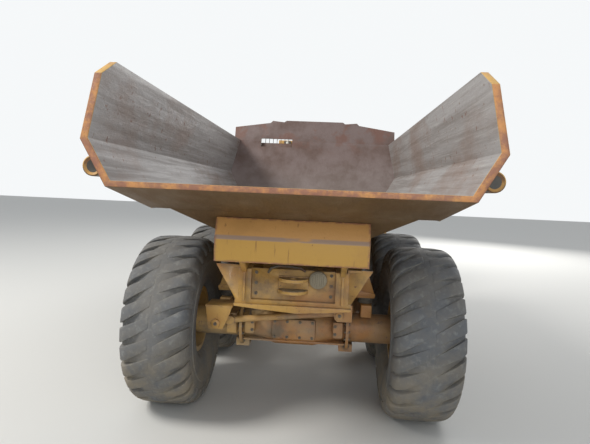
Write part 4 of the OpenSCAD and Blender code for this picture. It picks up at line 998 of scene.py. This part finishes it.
foot, head = Vector((0.72, -0.80, 1.09)), Vector((0.72, -3.00, 1.70))
along = (head - foot).normalized()
glands = Piece(FRAME_PAINT, IRON)
glands.turned(foot + along * 1.975, along, [(0.108, 0), (0.119, 0.004), (0.119, 0.060), (0.108, 0.066)])
glands.bolt_ring(foot + along * 2.0425, along, 0.088, 8, 0.018)
glands.block((0.655, -1.020, 1.200), (0.785, -0.960, 1.262), 0.010, turn=Matrix.Rotation(-0.27, 4, "X"))
glands.pipe([foot + along * far + Vector((0, 0, lift)) for far, lift in (
    (0.24, 0.115), (0.60, 0.122), (1.90, 0.122), (1.99, 0.118))], 0.012, finish=1)
glands.mirrored().done("hoist_glands", NODE_BODY["hoist_barrels"], "yellow_paint")

# %% [markdown]
# The cab is a welded frame with glass set in rubber. Each window gets its rubber
# bead, the windscreen its wipers, the roof its gutters and lamps, and the mirrors
# their glass. The door's handle and rubbers ride on the door, so they open with it.

# %% Cab rubbers, wipers and lamps
SILL, TOP = 2.36, 3.18
SIDE_X = 0.802
WIPER_Z = 2.26


def screen(x, z, gap):
    """A point that stands a gap off the leaning windscreen."""
    return x, 3.11 - (z - 2.10) * 0.18 / 1.17 + gap, z


def back_window(x, z, gap):
    return x, 1.61 + (z - 2.30) * 0.06 / 0.97 + gap, z


cab = Piece(PLASTIC, PAINT, LAMP_GLASS, IRON)
for x, start, end in ((SIDE_X, 1.74, 2.23), (SIDE_X, 2.31, 2.84), (-SIDE_X, 1.72, 1.88)):
    cab.bead([(x, y, z) for y, z in corners(start, end, SILL, TOP)], 0.011)
cab.bead([screen(x, z, 0.002) for x, z in corners(-0.69, 0.69, 2.32, TOP)], 0.012)
cab.bead([back_window(x, z, -0.002) for x, z in corners(-0.67, 0.67, SILL, TOP)], 0.012)
for x in (-0.34, 0.22):
    cab.bar(screen(x, WIPER_Z, 0.004), screen(x, WIPER_Z, 0.034), 0.018)
    cab.pipe([screen(x, WIPER_Z, 0.028), screen(x + 0.10, 2.50, 0.026), screen(x + 0.16, 2.72, 0.020)], 0.006)
    cab.pipe([screen(x + 0.02, 2.45, 0.016), screen(x + 0.30, 3.00, 0.016)], 0.008)
for x in (-0.62, 0.62):
    for start, end, lens, way in ((3.045, 3.095, 3.094, AHEAD), (1.545, 1.592, 1.546, BACK)):
        cab.block((x - 0.075, start, 3.285), (x + 0.075, end, 3.365), 0.014)
        cab.turned((x, lens, 3.325), way, [(0, 0.010), (0.022, 0.008), (0.032, 0), (0, 0)], 24, finish=2)
for x in (-0.815, 0.815):
    cab.pipe([(x, 1.62, 3.276), (x, 3.04, 3.276)], 0.010, finish=1)
cab.pipe([(0.806, 2.88, 2.42), (0.845, 2.88, 2.45), (0.845, 2.88, 2.95), (0.806, 2.88, 2.98)], 0.011, finish=3)
cab.bolts([(x, 1.606, z) for x in (-0.74, 0.74) for z in (1.75, 2.20)], BACK, 0.026)
cab.done("cab_fittings", "front_chassis", "plastic")

door = Piece(PLASTIC, IRON)
door.bead([(-SIDE_X, y, z) for y, z in corners(2.05, 2.78, SILL, 3.11)], 0.011)
door.bead([(-0.801, y, z) for y, z in corners(1.956, 2.874, 1.966, 3.194)], 0.005)
door.block((-0.832, 2.60, 2.24), (-0.799, 2.72, 2.275), 0.008, finish=1)
door.turned((-0.801, 2.66, 2.17), (-1, 0, 0), [(0, 0.012), (0.018, 0.012), (0.022, 0), (0, 0)], 20, finish=1)
door.done("door_fittings", "cab_door", "plastic")

mirror = Piece(MIRROR_GLASS, DARK_METAL)
mirror.block((1.236, 2.9115, 2.576), (1.415, 2.9165, 2.964), 0.0015)
mirror.block((1.30, 2.905, 2.94), (1.35, 2.985, 2.995), 0.008, finish=1)
mirror.mirrored().done("mirror_faces", "front_chassis", "glass")

# %% [markdown]
# The driver's seat is foam in a cloth cover. A block with many faces is crowned in
# its middle and rounded at its rim, and a sunk line marks the seam.

# %% Seat
CROWN = 0.022


def cushion(name, low, high, lean=0.0):
    part = bmesh.new()
    low, high = Vector(low), Vector(high)
    bmesh.ops.create_cube(part, size=1)
    round_edges(part, part.edges[:], 0.16, 3)
    bmesh.ops.subdivide_edges(part, edges=part.edges[:], cuts=5, use_grid_fill=True)
    size = high - low
    thin = min(range(3), key=lambda i: size[i])
    wide = [i for i in range(3) if i != thin]
    for v in part.verts:
        u, w = (2 * v.co[i] for i in wide)
        swell = max(0, 1 - u * u) * max(0, 1 - w * w)
        seam = math.exp(-((abs(u) - 0.62) / 0.05) ** 2) * 0.35
        if abs(v.co[thin]) > 0.3:
            v.co[thin] += math.copysign(CROWN / size[thin], v.co[thin]) * (swell - seam - 1)
    bmesh.ops.scale(part, vec=size, verts=part.verts)
    made = Piece(SEAT_CLOTH)
    made.add(part, Matrix.Translation((low + high) / 2) @ Matrix.Rotation(lean, 4, "X"))
    return made.done(name, "front_chassis", "seat_cover", "seat")


cushion("seat_cushion", (-0.26, 1.87, 1.952), (0.26, 2.39, 2.085))
cushion("seat_back", (-0.25, 1.835, 2.07), (0.25, 1.955, 2.725), lean=0.147)
base = Piece(PLASTIC, DARK_METAL)
base.block((-0.17, 1.93, 1.6605), (0.17, 2.29, 1.70), 0.010, finish=1)
for i in range(5):
    base.block((-0.155, 1.945, 1.702 + i * 0.040), (0.155, 2.275, 1.738 + i * 0.040), 0.016)
base.block((-0.20, 1.90, 1.905), (0.20, 2.33, 1.952), 0.012, finish=1)
base.done("seat_base", "front_chassis", "plastic", "seat")

# %% [markdown]
# The hood is one bent sheet over the engine. A box in the hood's side outline gets
# its long edges rounded, loses its floor and its back, has the grille's opening
# cut out of its front, and is then given the sheet's thickness inward.

# %% Hood
HOOD_SHEET, HOOD_HALF, HOOD_FRONT, HOOD_FOOT = 0.028, 0.85, 5.32, 1.60
HOOD_OUTLINE = [(3.17, 1.56), (HOOD_FRONT, 1.56), (HOOD_FRONT, 2.04), (5.16, 2.18), (3.17, 2.46)]
GRILLE_X, GRILLE_LOW, GRILLE_TOP = 0.67, 1.62, 2.02


def hood_sheet():
    part = bmesh.new()
    drawn_out(part, [(-HOOD_HALF, y, z) for y, z in HOOD_OUTLINE], (2 * HOOD_HALF, 0, 0))
    bmesh.ops.recalc_face_normals(part, faces=part.faces)
    round_edges(part, [e for e in part.edges if min(v.co.z for v in e.verts) > 2.0
                       and max(v.co.y for v in e.verts) > 3.3], 0.055, 5)
    round_edges(part, [e for e in part.edges if min(v.co.y for v in e.verts) > HOOD_FRONT - 0.01
                       and abs(e.verts[0].co.x - e.verts[1].co.x) < 0.01], 0.030, 3)
    for place, normal in (((GRILLE_X, 0, 0), RIGHT), ((-GRILLE_X, 0, 0), RIGHT), ((0, 0, GRILLE_LOW), UP),
                          ((0, 0, GRILLE_TOP), UP), ((0, 0, HOOD_FOOT), UP)):
        faces = [f for f in part.faces if f.calc_center_median().y > HOOD_FRONT - 0.02 or place[2] == HOOD_FOOT]
        geom = list({g for f in faces for g in (*f.verts, *f.edges)}) + faces
        bmesh.ops.bisect_plane(part, geom=geom, dist=SAME_POINT, plane_co=place, plane_no=normal)
    gone = []
    for f in part.faces:
        middle, way = f.calc_center_median(), f.normal
        in_grille = way.y > 0.9 and abs(middle.x) < GRILLE_X and GRILLE_LOW < middle.z < GRILLE_TOP
        foot = way.y > 0.3 and middle.z < HOOD_FOOT and middle.y > 5.2
        if way.z < -0.9 or way.y < -0.9 or in_grille or foot:
            gone.append(f)
    bmesh.ops.delete(part, geom=gone, context="FACES")
    bmesh.ops.remove_doubles(part, verts=part.verts, dist=SAME_POINT)
    bmesh.ops.recalc_face_normals(part, faces=part.faces)
    if max(part.faces, key=lambda f: f.calc_center_median().z).normal.z < 0:
        bmesh.ops.reverse_faces(part, faces=part.faces)
    bmesh.ops.solidify(part, geom=part.faces[:], thickness=HOOD_SHEET)
    return part


hood = Piece(PAINT, IRON, PLASTIC)
hood.add(hood_sheet())
for x in (-0.33, 0.25):
    hood.turned((x, 5.30, 1.55), RIGHT, band(0.0152, 0.028, 0.08), 32)
    hood.block((x + 0.006, 5.264, 1.570), (x + 0.074, 5.2925, 1.680), 0.004)
for side in (-1, 1):
    louvre = [(side * x, z) for x, z in ((0.8485, 1.98), (0.8485, 1.74), (0.866, 1.752), (0.858, 1.98))]
    for i in range(7):
        hood.plate("Y", 3.62 + i * 0.16, 3.72 + i * 0.16, louvre, 0.003)
    for y in (3.40, 4.95):
        hood.block((side * 0.8485, y, 1.60), (side * 0.868, y + 0.045, 1.72), 0.006, finish=2)
        hood.bar((side * 0.86, y + 0.0225, 1.565), (side * 0.86, y + 0.0225, 1.60), 0.012, finish=1)
hood.bead([(x, 5.3215, z) for x, z in corners(-0.672, 0.672, 1.618, 2.022)], 0.008)
hood.pipe([(x, 3.75, z) for x, z in ((-0.20, 2.376), (-0.20, 2.425), (0.20, 2.425), (0.20, 2.376))], 0.012, finish=1)
hood.done("hood_sheet", "hood", "yellow_paint", "hood")

# %% [markdown]
# The last forms at the front and the sides: twin lamps with round glass in a ring,
# tanks with rolled edges and straps, bands round the silencer, and raised studs on
# the decks and steps so that a boot doesn't slip.

# %% Lamps, tanks, silencer and decks
SILENCER_X, SILENCER_Y, SILENCER_CLEAR = 1.0, 2.03, 0.14

lamps = Piece(DARK_METAL, LAMP_GLASS)
lamps.block((0.85, 5.38, 1.4003), (1.09, 5.500, 1.530), 0.014)
for x in (0.912, 1.028):
    lamps.turned((x, 5.498, 1.462), AHEAD, [(0.042, 0), (0.054, 0), (0.054, 0.010), (0.047, 0.013), (0.042, 0.008)], 36)
    lamps.turned((x, 5.499, 1.462), AHEAD, [(0, 0.012), (0.024, 0.010), (0.043, 0.003), (0.043, 0), (0, 0)], 36,
                 finish=1)
lamps.mirrored().done("twin_headlamps", "front_chassis", "lamp", "headlamps")

tanks = Piece(DARK_METAL, IRON)
tanks.block((0.4605, 3.566, 0.861), (1.0995, 4.559, 1.439), 0.060)
for y in (3.78, 4.33):
    tanks.block((0.4605, y, 0.856), (1.1045, y + 0.05, 1.4435), 0.058)
    tanks.bolts([(1.105, y + 0.025, 1.36)], RIGHT, 0.024)
tanks.turned((0.99, 3.68, 1.438), UP, [(0, 0.052), (0.044, 0.050), (0.050, 0.040), (0.050, 0.012), (0.036, 0.008),
                                       (0.036, 0), (0, 0)], 32, finish=1)
tanks.mirrored().done("rolled_tanks", "front_chassis", "dark_paint", "tanks")

exhaust = Piece(EXHAUST_METAL)
for z in (1.985, 2.16, 2.46, 2.655):
    exhaust.turned((SILENCER_X, SILENCER_Y, z), UP, band(0.108, 0.1145, 0.030, 0.003))
exhaust.turned((SILENCER_X, SILENCER_Y, 1.9102), UP, [(0.044, 0), (0.082, 0), (0.082, 0.012), (0.050, 0.016),
                                                      (0.050, 0.050), (0.044, 0.050)], 36)
exhaust.bolts([(SILENCER_X + 0.064 * math.cos(a), SILENCER_Y + 0.064 * math.sin(a), 1.922)
               for a in (0.8, 2.4, 3.9, 5.5)], UP, 0.018)
exhaust.done("silencer_bands", "front_chassis", "exhaust_steel")

decks = Piece(PAINT)
STUD_FOOT, STUD_TOP, STUD_HEIGHT, STUD_LIFT = 0.011, 0.007, 0.006, 0.002


def studs(across, along, z, pitch):
    """Rows of studs from end to end of a deck, none of them under the silencer."""
    xs, ys = ([start + i * pitch for i in range(int((end - start) / pitch) + 1)] for start, end in (across, along))
    for x, y in ((x, y) for x in xs for y in ys):
        if math.dist((x, y), (SILENCER_X, SILENCER_Y)) > SILENCER_CLEAR:
            bmesh.ops.create_cone(decks.shape, cap_ends=True, segments=8, radius1=STUD_FOOT, radius2=STUD_TOP,
                                  depth=STUD_HEIGHT, matrix=Matrix.Translation((x, y, z + STUD_LIFT)))


studs((0.865, 1.54), (1.985, 3.08), 1.910, 0.0562)
for z in (0.610, 0.890, 1.170, 1.420):
    studs((1.215, 1.56), (3.545, 3.70), z, 0.052)
decks.mirrored().done("deck_studs", "front_chassis", "yellow_paint")
